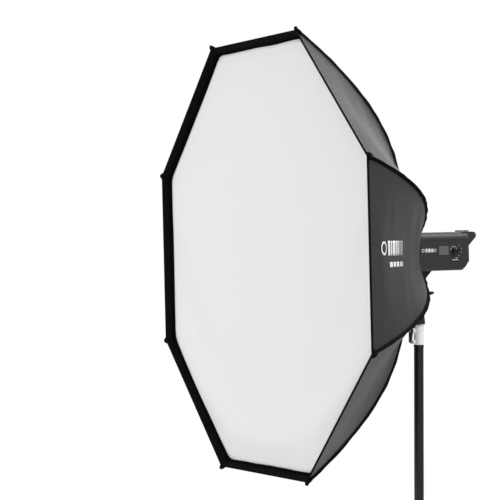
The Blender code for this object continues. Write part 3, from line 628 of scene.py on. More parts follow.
BLACK_NYLON = CoatedCloth("black_nylon", (0.0060, 0.0060, 0.0062))
CUFF_NYLON = CoatedCloth("cuff_nylon", (0.006, 0.006, 0.0065), roughness=0.62)
LOOP_TAPE = Webbing("loop_tape", (0.0016, 0.0016, 0.0017), half_width=18 * MM)
ROD_SLEEVE = Webbing("rod_sleeve", (0.0030, 0.0030, 0.0033), half_width=7.5 * MM)
WHITE_RIPSTOP = DiffuserCloth("white_ripstop", (0.88, 0.88, 0.88))
SILVER = SilverLining("silver_coating", (0.74, 0.75, 0.77))
FIBREGLASS = Moulded("rod_fibreglass", (0.10, 0.10, 0.11), roughness=0.4, pebbles=300.0)
CASING_PLASTIC = Moulded("casing_plastic", (0.026, 0.026, 0.027), roughness=0.42)
JOINT_NYLON = Moulded("joint_nylon", (0.009, 0.009, 0.0095), roughness=0.5, relief=0.1 * MM)
CONTROL_PLASTIC = Moulded("control_plastic", (0.005, 0.005, 0.0055), roughness=0.3, coat=0.1)
SMOKED_WINDOW = Moulded("smoked_window", (0.105, 0.105, 0.108), roughness=0.2, relief=0.004 * MM, coat=0.4)
CERAMIC = Moulded("lamp_ceramic", (0.80, 0.78, 0.74), roughness=0.55, pebbles=500.0)
BOARD = Moulded("board_resin", (0.015, 0.13, 0.06), roughness=0.35, pebbles=260.0)
GREY_KNOB = Moulded("grey_knob", (0.30, 0.30, 0.30), roughness=0.4)
SATIN_ALLOY = Metal("satin_alloy", (0.62, 0.62, 0.63), roughness=0.38)
BLACK_ALLOY = Metal("black_anodised", (0.012, 0.012, 0.013), roughness=0.36, metallic=0.4)
STAND_TUBE = Metal("stand_tube", (0.004, 0.004, 0.0045), roughness=0.34, metallic=0.0)
PALE_CASTING = Metal("pale_casting", (0.88, 0.87, 0.85), roughness=0.42, metallic=0.0)
TURNED_STEEL = Metal("turned_steel", (0.55, 0.55, 0.56), roughness=0.25)
CAN_SLEEVE = Metal("capacitor_sleeve", (0.04, 0.05, 0.12), roughness=0.3, metallic=0.2)
FOOT_RUBBER = Rubber("foot_rubber_skin", (0.014, 0.014, 0.014))
WHITE_INK = Printed("white_ink", (0.82, 0.82, 0.82))
LAMP_GLASS = Glass("lamp_glass_clear", (0.95, 0.96, 0.97))
PALE_FLOOR = Floor("pale_floor", (0.80, 0.80, 0.79))


# Mesh work ----------------------------------------------------------------------------------------


def smoothed(mesh: bpy.types.Mesh, angle: float = 34.0) -> bpy.types.Mesh:
    """Shades a mesh smooth, with edges sharper than an angle kept crisp.

    Args:
        mesh: the mesh.
        angle: the least angle of a crisp edge, in degrees.

    Returns:
        The same mesh.
    """
    mesh.shade_smooth()
    mesh.set_sharp_from_angle(angle=math.radians(angle))
    return mesh


def mesh_of(shape: bmesh.types.BMesh, name: str, angle: float = 34.0) -> bpy.types.Mesh:
    """Turns a bmesh into a mesh and frees it.

    Args:
        shape: the bmesh.
        name: the mesh's name.
        angle: the least angle of a crisp edge, in degrees.

    Returns:
        The mesh, with its faces out.
    """
    bmesh.ops.recalc_face_normals(shape, faces=shape.faces)
    mesh = bpy.data.meshes.new(name)
    shape.to_mesh(mesh)
    shape.free()
    return smoothed(mesh, angle)


def grid_faces(rows: int, columns: int, wrap: bool = False) -> list[tuple[int, int, int, int]]:
    """The quads of a grid whose points are listed row by row.

    Args:
        rows: how many rows of points.
        columns: how many points a row has.
        wrap: whether the last column joins the first.

    Returns:
        Four point numbers a quad.
    """
    last = columns if wrap else columns - 1
    return [
        (r * columns + c, r * columns + (c + 1) % columns,
         (r + 1) * columns + (c + 1) % columns, (r + 1) * columns + c)
        for r in range(rows - 1)
        for c in range(last)
    ]


def sheet_mesh(
    name: str,
    rows: Sequence[Sequence[Vector]],
    uvs: Callable[[int, int], Point],
    wrap: bool = False,
) -> bpy.types.Mesh:
    """An open sheet through a grid of points, with its flat place in metres as its weave map.

    Args:
        name: the mesh's name.
        rows: the points, row by row.
        uvs: gives (across, along) in metres for a row and a column, which may be one past the last.
        wrap: whether the last column joins the first.

    Returns:
        The mesh.
    """
    columns = len(rows[0])
    mesh = bpy.data.meshes.new(name)
    quads = grid_faces(len(rows), columns, wrap)
    mesh.from_pydata([p for row in rows for p in row], [], quads)
    layer = mesh.uv_layers.new(name=WEAVE_UV)
    last = columns if wrap else columns - 1
    for face in mesh.polygons:
        row, column = divmod(face.index, last)
        corners = ((row, column), (row, column + 1), (row + 1, column + 1), (row + 1, column))
        for loop, corner in zip(face.loop_indices, corners):
            layer.data[loop].uv = uvs(*corner)
    return smoothed(mesh, 60.0)


def arc_points(centre: Point, radius: float, start: float, end: float, steps: int) -> list[Point]:
    """Points on an arc.

    Args:
        centre: the arc's centre.
        radius: its radius.
        start: its first angle, in degrees.
        end: its last angle, in degrees.
        steps: how many steps between the two.

    Returns:
        The points.
    """
    angles = (math.radians(start + (end - start) * i / steps) for i in range(steps + 1))
    return [(centre[0] + radius * math.cos(a), centre[1] + radius * math.sin(a)) for a in angles]


def towards(start: Vector, direction: Vector) -> Matrix:
    """A matrix at start whose local Z points along a direction."""
    turn = direction.normalized().to_track_quat("Z", "Y").to_matrix().to_4x4()
    return Matrix.Translation(start) @ turn


def lathe_mesh(
    name: str, profile: Sequence[Point], matrix: Matrix, segments: int = 48, bevel: float = 0.0
) -> bpy.types.Mesh:
    """A turned solid.

    Args:
        name: the mesh's name.
        profile: (radius, height) points from one end of the axis to the other. A zero radius closes an end.
        matrix: where local Z and the origin go.
        segments: how many sides the turned faces have.
        bevel: the width of its rounded corners.

    Returns:
        The mesh.
    """
    shape = bmesh.new()
    rings = []
    for radius, height in profile:
        if radius <= 0:
            rings.append([shape.verts.new((0, 0, height))])
            continue
        turns = (2 * math.pi * i / segments for i in range(segments))
        rings.append([shape.verts.new((radius * math.cos(t), radius * math.sin(t), height)) for t in turns])
    for low, high in zip(rings, rings[1:]):
        for i in range(segments):
            corners = [
                low[i % len(low)], low[(i + 1) % len(low)], high[(i + 1) % len(high)], high[i % len(high)],
            ]
            shape.faces.new(list(dict.fromkeys(corners)))
    for ring in (rings[0], rings[-1]):
        if len(ring) > 1:
            shape.faces.new(ring)
    if bevel:
        round_off(shape, bevel, 24.0)
    bmesh.ops.transform(shape, matrix=matrix, verts=shape.verts)
    return mesh_of(shape, name)


def round_off(shape: bmesh.types.BMesh, width: float, angle: float, segments: int = 2) -> None:
    """Rounds every edge of a bmesh that is sharper than an angle.

    Args:
        shape: the bmesh.
        width: the rounding's width.
        angle: the least angle between an edge's faces, in degrees.
        segments: how many faces the rounding has.
    """
    limit = math.radians(angle)
    edges = [e for e in shape.edges if len(e.link_faces) == 2 and e.calc_face_angle() > limit]
    bmesh.ops.bevel(
        shape, geom=edges, offset=width, segments=segments, profile=0.5, affect="EDGES", clamp_overlap=True
    )


def plate_mesh(
    name: str, outline: Sequence[Point], thickness: float, matrix: Matrix, bevel: float = 0.0
) -> bpy.types.Mesh:
    """A flat outline made thick, with rounded edges.

    Args:
        name: the mesh's name.
        outline: its corners in order.
        thickness: how far it goes along local Z.
        matrix: where its local axes go.
        bevel: the width of its rounded edges.

    Returns:
        The mesh.
    """
    shape = bmesh.new()
    base = shape.faces.new([shape.verts.new((x, y, 0)) for x, y in outline])
    raised = bmesh.ops.extrude_face_region(shape, geom=[base])
    lifted = [item for item in raised["geom"] if isinstance(item, bmesh.types.BMVert)]
    bmesh.ops.translate(shape, vec=(0, 0, thickness), verts=lifted)
    if bevel:
        round_off(shape, bevel, 30.0)
    bmesh.ops.transform(shape, matrix=matrix, verts=shape.verts)
    return mesh_of(shape, name)


def joined(name: str, meshes: Iterable[bpy.types.Mesh], angle: float = 34.0) -> bpy.types.Mesh:
    """Several meshes as one.

    Args:
        name: the new mesh's name.
        meshes: the meshes, which are removed.
        angle: the least angle of a crisp edge, in degrees.

    Returns:
        The mesh.
    """
    shape = bmesh.new()
    for mesh in meshes:
        shape.from_mesh(mesh)
        bpy.data.meshes.remove(mesh)
    return mesh_of(shape, name, angle)


def band_mesh(
    name: str, centres: Sequence[Vector], sides: Sequence[Vector], ups: Sequence[Vector],
    section: Sequence[Point], closed: bool,
) -> bpy.types.Mesh:
    """A strip of constant section along a path.

    Args:
        name: the mesh's name.
        centres: the path's points.
        sides: the direction across the strip at each point.
        ups: the direction out of the strip at each point.
        section: the closed section as (across, up) points.
        closed: whether the path's end meets its start.

    Returns:
        The mesh, with its weave map in metres.
    """
    rows = []
    for centre, side, up in zip(centres, sides, ups):
        rows.append([centre + side * x + up * y for x, y in section])
    lengths = [0.0]
    for first, second in zip(centres, centres[1:]):
        lengths.append(lengths[-1] + (second - first).length)
    if closed:
        rows.append(rows[0])
        lengths.append(lengths[-1] + (centres[0] - centres[-1]).length)
    wrapped = [*section, section[0]]
    mesh = sheet_mesh(name, rows, lambda row, column: (wrapped[column][0], lengths[row]), wrap=True)
    shape = bmesh.new()
    shape.from_mesh(mesh)
    bpy.data.meshes.remove(mesh)
    if closed:
        bmesh.ops.remove_doubles(shape, verts=shape.verts, dist=1e-6)
    else:
        shape.verts.ensure_lookup_table()
        count = len(section)
        shape.faces.new([shape.verts[i] for i in range(count)])
        shape.faces.new([shape.verts[(len(rows) - 1) * count + i] for i in range(count)])
    return mesh_of(shape, name, 50.0)


def ellipse_section(half_width: float, half_height: float, lift: float = 0.0, steps: int = 10) -> list[Point]:
    """The section of a soft tape: a flat ellipse, lifted off its path."""
    points = []
    for i in range(steps):
        angle = 2 * math.pi * i / steps
        points.append((half_width * math.cos(angle), half_height * math.sin(angle) + lift))
    return points


class Workshop:
    """Makes objects of meshes, rides each on its body, and hides the CAD nodes that it stands for."""

    def __init__(self, frame: dict) -> None:
        """Keeps the loaded frame, and works out how far the head looks down.
        """
        behaviour = frame["record"]["behaviour"]
        joints = {joint["name"]: joint for joint in behaviour["joints"]}
        facing = joints["softbox_turn"]["axis"]
        pivot = Matrix.Translation(joints["head_tilt"]["pos_m"])
        self.tilt = pivot @ Matrix.Rotation(math.atan2(-facing[2], -facing[1]), 4, "X") @ pivot.inverted()
        self.nodes = frame["nodes"]
        self.body_of = {node: body for body, members in behaviour["bodies"].items() for node in members}
        self.slot_of = {part["node"]: part["material_slot"] for part in frame["record"]["subparts"]}
        self.on_head = self.carried_by(Body.HEAD.value, joints.values())

    @staticmethod
    def carried_by(body: str, joints: Iterable[dict]) -> set[str]:
        """The names of a body and of all bodies that it carries."""
        carried = {body}
        for _ in joints:
            carried |= {joint["child"] for joint in joints if joint["parent"] in carried}
        return carried

    def level_box(self, *nodes: str) -> tuple[Vector, Vector]:
        """The box round parts of the head, as they would lie with the light's axis level."""
        level = self.tilt.inverted()
        points = [level @ v.co for node in nodes for v in self.nodes[node].data.vertices]
        return Vector(map(min, zip(*points))), Vector(map(max, zip(*points)))

    def piece(
        self, name: str, mesh: bpy.types.Mesh, finish: object, body: str, slot: str,
        replaces: Sequence[str] = (), placed: bool = False,
    ) -> bpy.types.Object:
        """Adds a piece to the scene.

        Args:
            name: the piece's name.
            mesh: its mesh. What the head carries is made as if the light's axis were level.
            finish: the finish that dresses it.
            body: the body that it rides on.
            slot: the record's material slot; not used.
            replaces: the CAD nodes that it stands for.
            placed: whether the mesh is in its tilted place already.

        Returns:
            The object.
        """
        if body in self.on_head and not placed:
            mesh.transform(self.tilt)
        made = bpy.data.objects.new(name, mesh)
        bpy.context.scene.collection.objects.link(made)
        mesh.materials.clear()
        mesh.materials.append(finish.material())
        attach(made, body)
        if replaces:
            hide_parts(*replaces)
        log.info("%s: %d faces", name, len(mesh.polygons))
        return made

    def refine_all(self, table: Sequence[tuple[str, object, float]]) -> None:
        """Shows several nodes as they are packed.

        Args:
            table: each node's name, its finish and its edges' bevel in millimetres.
        """
        for name, finish, bevel in table:
            self.refined(name, finish, bevel * MM)

    def refined(self, node: str, finish: object, bevel: float, name: str = "") -> bpy.types.Object:
        """Stands a finely edged copy in for a CAD node: welded, with flat faces whole and corners rounded.

        Args:
            node: the CAD node.
            finish: the finish that dresses it.
            bevel: the width of its rounded corners.
            name: the piece's name, which is the node's with _skin if left out.

        Returns:
            The object.
        """
        shape = bmesh.new()
        shape.from_mesh(self.nodes[node].data)
        bmesh.ops.remove_doubles(shape, verts=shape.verts, dist=2e-6)
        bmesh.ops.dissolve_limit(
            shape, angle_limit=math.radians(0.5), verts=shape.verts, edges=shape.edges,
            use_dissolve_boundaries=False,
        )
        if bevel:
            round_off(shape, bevel, 32.0)
        made = self.piece(
            name or f"{node}_skin", mesh_of(shape, node, 32.0), finish,
            self.body_of[node], self.slot_of[node], [node], placed=True,
        )
        even = made.modifiers.new("even_normals", "WEIGHTED_NORMAL")
        even.keep_sharp = True
        return made


# The softbox --------------------------------------------------------------------------------------


@dataclass
class Softbox:
    """The sewn shell, its tapes, its diffuser and its rear cuff."""

    shop: Workshop
    depth: float = 0.540
    fullness: float = 2.2
    across: int = 12
    along: int = 64
    cloth: float = 0.9 * MM
    frames: int = 24
    pull_radii: tuple[float, ...] = (0.125, 0.15, 0.20, 0.28, 0.36, 0.45, 0.55, 0.65, 0.71, 0.75)
    pull_depths: tuple[float, ...] = (0.002, 0.007, 0.015, 0.025, 0.032, 0.036, 0.031, 0.018, 0.006, 0.0)
    dent: float = 0.008
    tape_depth: float = 0.0245
    tape_inset: float = 0.0240
    corner_round: float = 0.030
    bows: tuple[float, ...] = (0.0, 0.0015, 0.0025, 0.0005, -0.0085, 0.0010, 0.0, 0.0)
    front_y: float = field(init=False)
    axis_z: float = field(init=False)
    tip: float = field(init=False)
    rear: float = field(init=False)
    grid: list[list[Vector]] = field(init=False, default_factory=list)

    def __post_init__(self) -> None:
        """Reads the shell's place and size from the frame."""
        low, high = self.shop.level_box("shell_upper", "shell_lower")
        self.front_y = low.y
        self.axis_z = (low.z + high.z) / 2
        self.tip = (high.x - low.x) / 2 / math.cos(FIRST_CORNER)
        self.rear = self.tip * (1 - (high.y - low.y) / self.depth) ** (1 / self.fullness)

    def seam_depth(self, radius: float) -> float:
        """Depth of a seam behind the front rim, at a distance from the axis."""
        loaded = self.dent * math.exp(-(((radius - DENT_RADIUS) / DENT_SPREAD) ** 2))
        return self.depth * (1 - (radius / self.tip) ** self.fullness) - loaded

    def at(self, radius: float, depth: float, angle: float) -> Vector:
        """A point at that distance and angle round the light's axis, at a depth."""
        return Vector((
            radius * math.cos(angle), self.front_y + depth, self.axis_z + radius * math.sin(angle),
        ))

    def flat_point(self, column: float, share: float) -> Vector:
        """A point of the shell before its cloth settles.

        Args:
            column: gores round from the first corner, with its part as the way across the gore.
            share: 0 at the rear opening and 1 at the front rim.

        Returns:
            The point, pulled in between the rods as taut cloth is.
        """
        gore, u = divmod(column, 1.0)
        radius = self.rear + (self.tip - self.rear) * share
        depth = self.seam_depth(radius)
        first = self.at(radius, depth, FIRST_CORNER + gore * 2 * math.pi / SIDES)
        second = self.at(radius, depth, FIRST_CORNER + (gore + 1) * 2 * math.pi / SIDES)
        slope = self.fullness * self.depth / self.tip * (radius / self.tip) ** (self.fullness - 1)
        middle = FIRST_CORNER + (gore + 0.5) * 2 * math.pi / SIDES
        inward = Vector((-math.cos(middle) * slope, -1.0, -math.sin(middle) * slope)).normalized()
        pull = float(np.interp(radius, self.pull_radii, self.pull_depths))
        return first.lerp(second, u) + inward * pull * 4 * u * (1 - u)

    def fold(self, column: float, share: float) -> float:
        """Height of the cloth's creases, which run across each gore from rod to rod.

        Args:
            column: gores round from the first corner.
            share: 0 at the rear opening and 1 at the front rim.

        Returns:
            The height in metres.
        """
        gore, u = divmod(column, 1.0)
        seed = 17.0 * gore
        slow = noise.noise(Vector((u * 1.3 + share * 0.8, share * 3.4, seed)))
        quick = noise.noise(Vector((u * 2.2 - share * 1.5, share * 10.0, seed + 5.0)))
        ridge = 1 - abs(noise.noise(Vector((u * 0.9 + share * 2.2, share * 7.0, seed + 9.0)))) * 3.2
        slack = 0.35 + 0.9 * max(0.0, noise.noise(Vector((u * 1.4, share * 1.8, seed + 30.0))) + 0.25)
        inner = 1 + 1.1 * (1 - share) ** 3
        edge = min(1.0, 4.5 * u * (1 - u)) * min(1.0, (1 - share) / 0.05) * min(1.0, share / 0.04)
        return edge * inner * slack * (2.6 * slow + 1.0 * quick + 3.0 * max(0.0, ridge) ** 2) * MM

    def make_cloth(self) -> bpy.types.Object:
        """The sewn shell, settled by a cloth simulation between the rods that hold its seams.

        Returns:
            The piece.
        """
        columns = SIDES * self.across
        rows = [
            [self.flat_point(c / self.across, r / self.along) for c in range(columns)]
            for r in range(self.along + 1)
        ]
        lengths = self.meridian()
        chord = 2 * math.sin(math.pi / SIDES)

        def flat(row: int, column: int) -> Point:
            """The place on the flat gore."""
            radius = self.rear + (self.tip - self.rear) * row / self.along
            gore, part = divmod(column, self.across)
            return (part / self.across - 0.5) * radius * chord + gore * 1.0, lengths[row]

        mesh = sheet_mesh("shell_cloth", rows, flat, wrap=True)
        settled = bpy.data.objects.new("shell_cloth", mesh)
        bpy.context.scene.collection.objects.link(settled)
        self.settle(settled, self.pinned_weights(columns), shrink=0.006, stiffness=25.0)
        self.read_grid(settled, rows, columns)
        bpy.data.objects.remove(settled)
        mesh = sheet_mesh("softbox_shell", self.grid, flat, wrap=True)
        self.crease_seams(mesh, columns)
        shell = self.shop.piece(
            "softbox_shell", mesh, BLACK_NYLON, Body.SOFTBOX.value, Slot.SHELL.value,
            ["shell_upper", "shell_lower"],
        )
        mesh.materials.append(SILVER.material())
        self.face_out(mesh)
        finer = shell.modifiers.new("finer", "SUBSURF")
        finer.levels = finer.render_levels = 1
        thick = shell.modifiers.new("cloth", "SOLIDIFY")
        thick.thickness = self.cloth
        thick.offset = -1.0
        thick.material_offset = 1
        area = SIDES * sum(
            (lengths[r + 1] - lengths[r]) * chord
            * (self.rear + (self.tip - self.rear) * (r + 0.5) / self.along)
            for r in range(self.along)
        )
        area / lengths[-1]
        return shell

    def face_out(self, mesh: bpy.types.Mesh) -> None:
        """Turns the sheet's faces away from the light's axis."""
        face = mesh.polygons[len(mesh.polygons) // 2]
        inside = Vector((0, self.front_y, self.axis_z))
        if face.normal.dot(face.center - inside) < 0:
            mesh.flip_normals()

    def meridian(self) -> list[float]:
        """Length along a seam from the rear opening to each row of the shell's grid."""
        lengths = [0.0]
        for row in range(1, self.along + 1):
            step = self.flat_point(0, row / self.along) - self.flat_point(0, (row - 1) / self.along)
            lengths.append(lengths[-1] + step.length)
        return lengths

    def pinned_weights(self, columns: int) -> list[float]:
        """How firmly each point of the shell's grid is held: the seams and both edges are fixed."""
        return [
            1.0 if c % self.across == 0 or r in (0, self.along) else 0.0
            for r in range(self.along + 1)
            for c in range(columns)
        ]

    def settle(
        self, cloth: bpy.types.Object, weights: Sequence[float], shrink: float, stiffness: float
    ) -> None:
        """Runs a cloth simulation, and applies its result to the mesh.

        Args:
            cloth: the object, whose mesh is the cloth at its start.
            weights: how firmly each vertex is held, from 0 to 1.
            shrink: the share by which the cloth is cut small, which draws it tight.
            stiffness: how hard it is to stretch.
        """
        held = cloth.vertex_groups.new(name="held")
        for index, weight in enumerate(weights):
            if weight > 0:
                held.add([index], weight, "REPLACE")
        run = cloth.modifiers.new("settle", "CLOTH")
        run.settings.quality = 6
        run.settings.mass = 0.12
        run.settings.tension_stiffness = stiffness
        run.settings.compression_stiffness = stiffness * 0.4
        run.settings.shear_stiffness = stiffness * 0.3
        run.settings.bending_stiffness = 0.25
        run.settings.air_damping = 4.0
        run.settings.shrink_min = shrink
        run.settings.vertex_group_mass = "held"
        run.settings.pin_stiffness = 1.0
        run.collision_settings.use_collision = False
        run.point_cache.frame_end = self.frames
        scene = bpy.context.scene
        for frame in range(1, self.frames + 1):
            scene.frame_set(frame)
        graph = bpy.context.evaluated_depsgraph_get()
        result = bpy.data.meshes.new_from_object(cloth.evaluated_get(graph))
        cloth.modifiers.clear()
        cloth.data = result
        scene.frame_set(1)

    def read_grid(self, cloth: bpy.types.Object, rows: list[list[Vector]], columns: int) -> None:
        """Keeps the settled points, with the creases added, as the grid that every tape follows.

        Args:
            cloth: the settled object.
            rows: the points before it settled.
            columns: how many points a row has.
        """
        most = 5 * MM
        points = [v.co.copy() for v in cloth.data.vertices]
        self.grid = []
        for r, row in enumerate(rows):
            kept = []
            for c, start in enumerate(row):
                move = points[r * columns + c] - start
                if move.length > most:
                    move *= most / move.length
                kept.append(start + move)
            self.grid.append(kept)
        lifted = []
        for r, row in enumerate(self.grid):
            shares = [self.fold(c / self.across, r / self.along) for c in range(columns)]
            lifted.append([p + self.outward(r, c) * h for c, (p, h) in enumerate(zip(row, shares))])
        self.grid = lifted

    def outward(self, row: int, column: int) -> Vector:
        """The direction out of the cloth at a point of the grid."""
        columns = SIDES * self.across
        ahead = self.grid[min(row + 1, self.along)][column % columns]
        behind = self.grid[max(row - 1, 0)][column % columns]
        left = self.grid[row][(column - 1) % columns]
        right = self.grid[row][(column + 1) % columns]
        normal = (ahead - behind).cross(right - left).normalized()
        here = self.grid[row][column % columns]
        away = here - Vector((0, self.front_y, self.axis_z))
        return normal if normal.dot(away) > 0 else -normal

    def on_cloth(self, column: float, share: float, lift: float) -> Vector:
        """A point on the settled shell.

        Args:
            column: gores round from the first corner.
            share: 0 at the rear opening and 1 at the front rim.
            lift: how far out of the cloth it lies.

        Returns:
            The point.
        """
        columns = SIDES * self.across
        c, r = column * self.across, min(share, 0.99999) * self.along
        c0, r0 = math.floor(c), math.floor(r)
        du, dv = c - c0, r - r0
        low = self.grid[r0][c0 % columns].lerp(self.grid[r0][(c0 + 1) % columns], du)
        high = self.grid[r0 + 1][c0 % columns].lerp(self.grid[r0 + 1][(c0 + 1) % columns], du)
        return low.lerp(high, dv) + self.outward(r0, c0) * lift

    def crease_seams(self, mesh: bpy.types.Mesh, columns: int) -> None:
        """Keeps the seams and the rims crisp when the mesh is subdivided."""
        creases = mesh.attributes.new("crease_edge", "FLOAT", "EDGE")
        for edge in mesh.edges:
            ends = [divmod(v, columns) for v in edge.vertices]
            on_seam = all(c % self.across == 0 for _, c in ends) and ends[0][1] == ends[1][1]
            on_rim = ends[0][0] == ends[1][0] and ends[0][0] in (0, self.along)
            creases.data[edge.index].value = 1.0 if on_seam or on_rim else 0.0

    def seam_frames(self, corner: int) -> tuple[list[Vector], list[Vector], list[Vector], list[Vector]]:
        """The path of one seam.

        Args:
            corner: which corner of the octagon the seam runs to.

        Returns:
            The seam's points, the directions into the gores on its two sides, and the directions out.
        """
        centre = corner * self.across
        columns = SIDES * self.across
        points, lefts, rights, ups = [], [], [], []
        for row in range(self.along + 1):
            here = self.grid[row][centre % columns]
            left = (self.grid[row][(centre - 1) % columns] - here).normalized()
            right = (self.grid[row][(centre + 1) % columns] - here).normalized()
            points.append(here)
            lefts.append(left)
            rights.append(right)
            up = -(left + right)
            away = here - Vector((0, here.y, self.axis_z))
            up = up.normalized() if up.length > 0.02 else away.normalized()
            ups.append(up if up.dot(away) > 0 else -up)
        return points, lefts, rights, ups

    def make_sleeves(self) -> None:
        """The tape sewn over each seam, which holds the rod: two flat wings and a ridge between them."""
        wing, ridge, first_row = 7.5 * MM, 8 * MM, 4
        for corner in range(SIDES):
            points, lefts, rights, ups = self.seam_frames(corner)
            rows = []
            for i, (p, left, right, up) in list(enumerate(zip(points, lefts, rights, ups)))[first_row:]:
                wander = 1 + 0.16 * noise.noise(Vector((i * 0.31, corner * 3.7, 0.0)))
                w = wing * wander
                h = ridge * (1 + 0.35 * noise.noise(Vector((i * 0.29, corner * 5.1, 4.0))))
                top = [
                    p + left * w + up * 0.3 * MM,
                    p + left * w * 0.97 + up * 1.2 * MM,
                    p + left * w * 0.62 + up * 2.2 * MM,
                    p + left * w * 0.42 + up * h * 0.72,
                    p + up * h,
                    p + right * w * 0.42 + up * h * 0.72,
                    p + right * w * 0.62 + up * 2.2 * MM,
                    p + right * w * 0.97 + up * 1.2 * MM,
                    p + right * w + up * 0.3 * MM,
                    p - up * 1.2 * MM,
                ]
                rows.append(top)
            across = [-w for w in (1.0, 0.97, 0.62, 0.42)] + [0.0, 0.42, 0.62, 0.97, 1.0, 0.0, -1.0]
            lengths = self.meridian()[first_row:]
            mesh = sheet_mesh(
                f"rod_sleeve_{corner + 1}", rows, lambda r, c: (across[c] * wing, lengths[r]), wrap=True
            )
            self.close_ends(mesh, len(rows), 10)
            sleeve = self.shop.piece(
                f"rod_sleeve_{corner + 1}", mesh, ROD_SLEEVE, Body.SOFTBOX.value, Slot.BAND.value
            )

    @staticmethod
    def close_ends(mesh: bpy.types.Mesh, rows: int, columns: int) -> None:
        """Caps the two ends of a strip whose points are listed ring by ring."""
        shape = bmesh.new()
        shape.from_mesh(mesh)
        shape.verts.ensure_lookup_table()
        shape.faces.new([shape.verts[i] for i in range(columns)])
        shape.faces.new([shape.verts[(rows - 1) * columns + i] for i in range(columns)])
        bmesh.ops.recalc_face_normals(shape, faces=shape.faces)
        shape.to_mesh(mesh)
        shape.free()
        smoothed(mesh, 50.0)

    def rim_path(self, share: float, inset: float, steps: int) -> list[Vector]:
        """Points round the shell near its front rim.

        Args:
            share: how far along the shell's grid, 1 at the rim.
            inset: how far inside the cloth.
            steps: points a side of the octagon.

        Returns:
            The points in order round the octagon.
        """
        return [self.on_cloth(i / steps, share, -inset) for i in range(SIDES * steps)]

    def opening_reach(self, column: float) -> float:
        """Distance from the axis to the tape's inner edge, whose corners are round and whose sides bow.

        Args:
            column: gores round from the first corner.

        Returns:
            The distance.
        """
        gore, u = divmod(column, 1.0)
        half = math.pi / SIDES
        turn = (u - 0.5) * 2 * half
        bow = self.bows[int(gore) % SIDES] * 4 * u * (1 - u)
        wobble = 2.2 * MM * noise.noise(Vector((column * 4.3, 0.7, 11.0)))
        apothem = self.tip * math.cos(half) - self.tape_inset - bow - wobble
        tangent = math.atan((apothem - self.corner_round) * math.tan(half) / apothem)
        if abs(turn) <= tangent:
            return apothem / math.cos(turn)
        to_centre = (apothem - self.corner_round) / math.cos(half)
        off = half - abs(turn)
        return to_centre * math.cos(off) + math.sqrt(self.corner_round**2 - (to_centre * math.sin(off)) ** 2)

    def outline_ring(self, y: float, steps: int, outside: float) -> list[Vector]:
        """A ring of points round the tape's inner edge.

        Args:
            y: where it lies along the light.
            steps: points a side of the octagon.
            outside: how far outside the edge it lies.

        Returns:
            The points.
        """
        ring = []
        for i in range(SIDES * steps):
            column = i / steps
            gore, u = divmod(column, 1.0)
            first = FIRST_CORNER + gore * 2 * math.pi / SIDES
            chord = Vector((math.cos(first), math.sin(first))).lerp(
                Vector((math.cos(first + math.pi / 4), math.sin(first + math.pi / 4))), u
            )
            angle = math.atan2(chord.y, chord.x)
            part = (angle - first) % (2 * math.pi) / (2 * math.pi / SIDES)
            reach = self.opening_reach(gore + min(part, 1.0 - 1e-6)) + outside
            ring.append(Vector((reach * math.cos(angle), y, self.axis_z + reach * math.sin(angle))))
        return ring

    def make_rim(self) -> None:
        """The binding that is folded over the front rim, and the loop tape inside it."""
        steps = 24
        lengths = self.meridian()
        per_share = lengths[-1]
        columns = SIDES * steps
        round_it = [i * 2 * self.tip * math.sin(math.pi / SIDES) / steps for i in range(columns + 1)]

        def ring(depth: float, inset: float) -> list[Vector]:
            """One ring of the tape, at a length behind the rim and a depth into the cloth."""
            return self.rim_path(1 - depth / per_share, inset, steps)

        walls = [self.tape_depth * k / 4 for k in range(5)]
        rows = [ring(behind, 3.0 * MM) for behind in walls]
        edge = self.tape_depth
        rows.append(self.outline_ring(self.front_y + edge + 0.6 * MM, steps, 5 * MM))
        rows.append(self.outline_ring(self.front_y + edge + 0.3 * MM, steps, 0.0))
        rows.append(self.outline_ring(self.front_y + edge + 1.6 * MM, steps, 0.0))
        rows.append(self.outline_ring(self.front_y + edge + 2.0 * MM, steps, 6 * MM))
        rows += [ring(behind, 1.4 * MM) for behind in walls[::-1]]
        rows.append(rows[0])
        spread = [*walls, 30 * MM, 36 * MM, 36 * MM, 30 * MM, *walls[::-1], 0.0]
        width = 36 * MM
        mesh = sheet_mesh("rim_loop_tape", rows, lambda r, c: (spread[r] - width / 2, round_it[c]), wrap=True)
        mesh = self.welded(mesh)
        tape = self.shop.piece(
            "rim_loop_tape", mesh, LOOP_TAPE, Body.SOFTBOX.value, Slot.BAND.value, ["front_lip"]
        )

        fold = 4.5 * MM
        places = [
            (fold, -1.1 * MM), (fold * 0.5, -1.3 * MM), (1.0 * MM, -1.3 * MM), (-1.2 * MM, -0.4 * MM),
            (-1.6 * MM, 0.9 * MM), (-1.2 * MM, 2.4 * MM), (1.0 * MM, 4.2 * MM), (10 * MM, 4.3 * MM),
            (16 * MM, 4.2 * MM), (16 * MM, 1.2 * MM), (2.0 * MM, 1.0 * MM), (fold, 0.6 * MM),
        ]
        rows = [self.rim_ring(behind, inset, steps) for behind, inset in places]
        rows.append(rows[0])
        width = 27 * MM
        spread = [k * width / len(places) for k in range(len(rows))]
        mesh = sheet_mesh("rim_binding", rows, lambda r, c: (spread[r] - width / 2, round_it[c]), wrap=True)
        mesh = self.welded(mesh)
        binding = self.shop.piece("rim_binding", mesh, ROD_SLEEVE, Body.SOFTBOX.value, Slot.BAND.value)

    def rim_ring(self, behind: float, inset: float, steps: int) -> list[Vector]:
        """A ring round the front rim.

        Args:
            behind: its distance behind the rim along the cloth, and in front of it if negative.
            inset: how far inside the cloth's outer face.
            steps: points a side of the octagon.

        Returns:
            The points.
        """
        per_share = self.meridian()[-1]
        ring = self.rim_path(1 - max(behind, 0.0) / per_share, inset, steps)
        return [p + Vector((0, min(behind, 0.0), 0)) for p in ring]

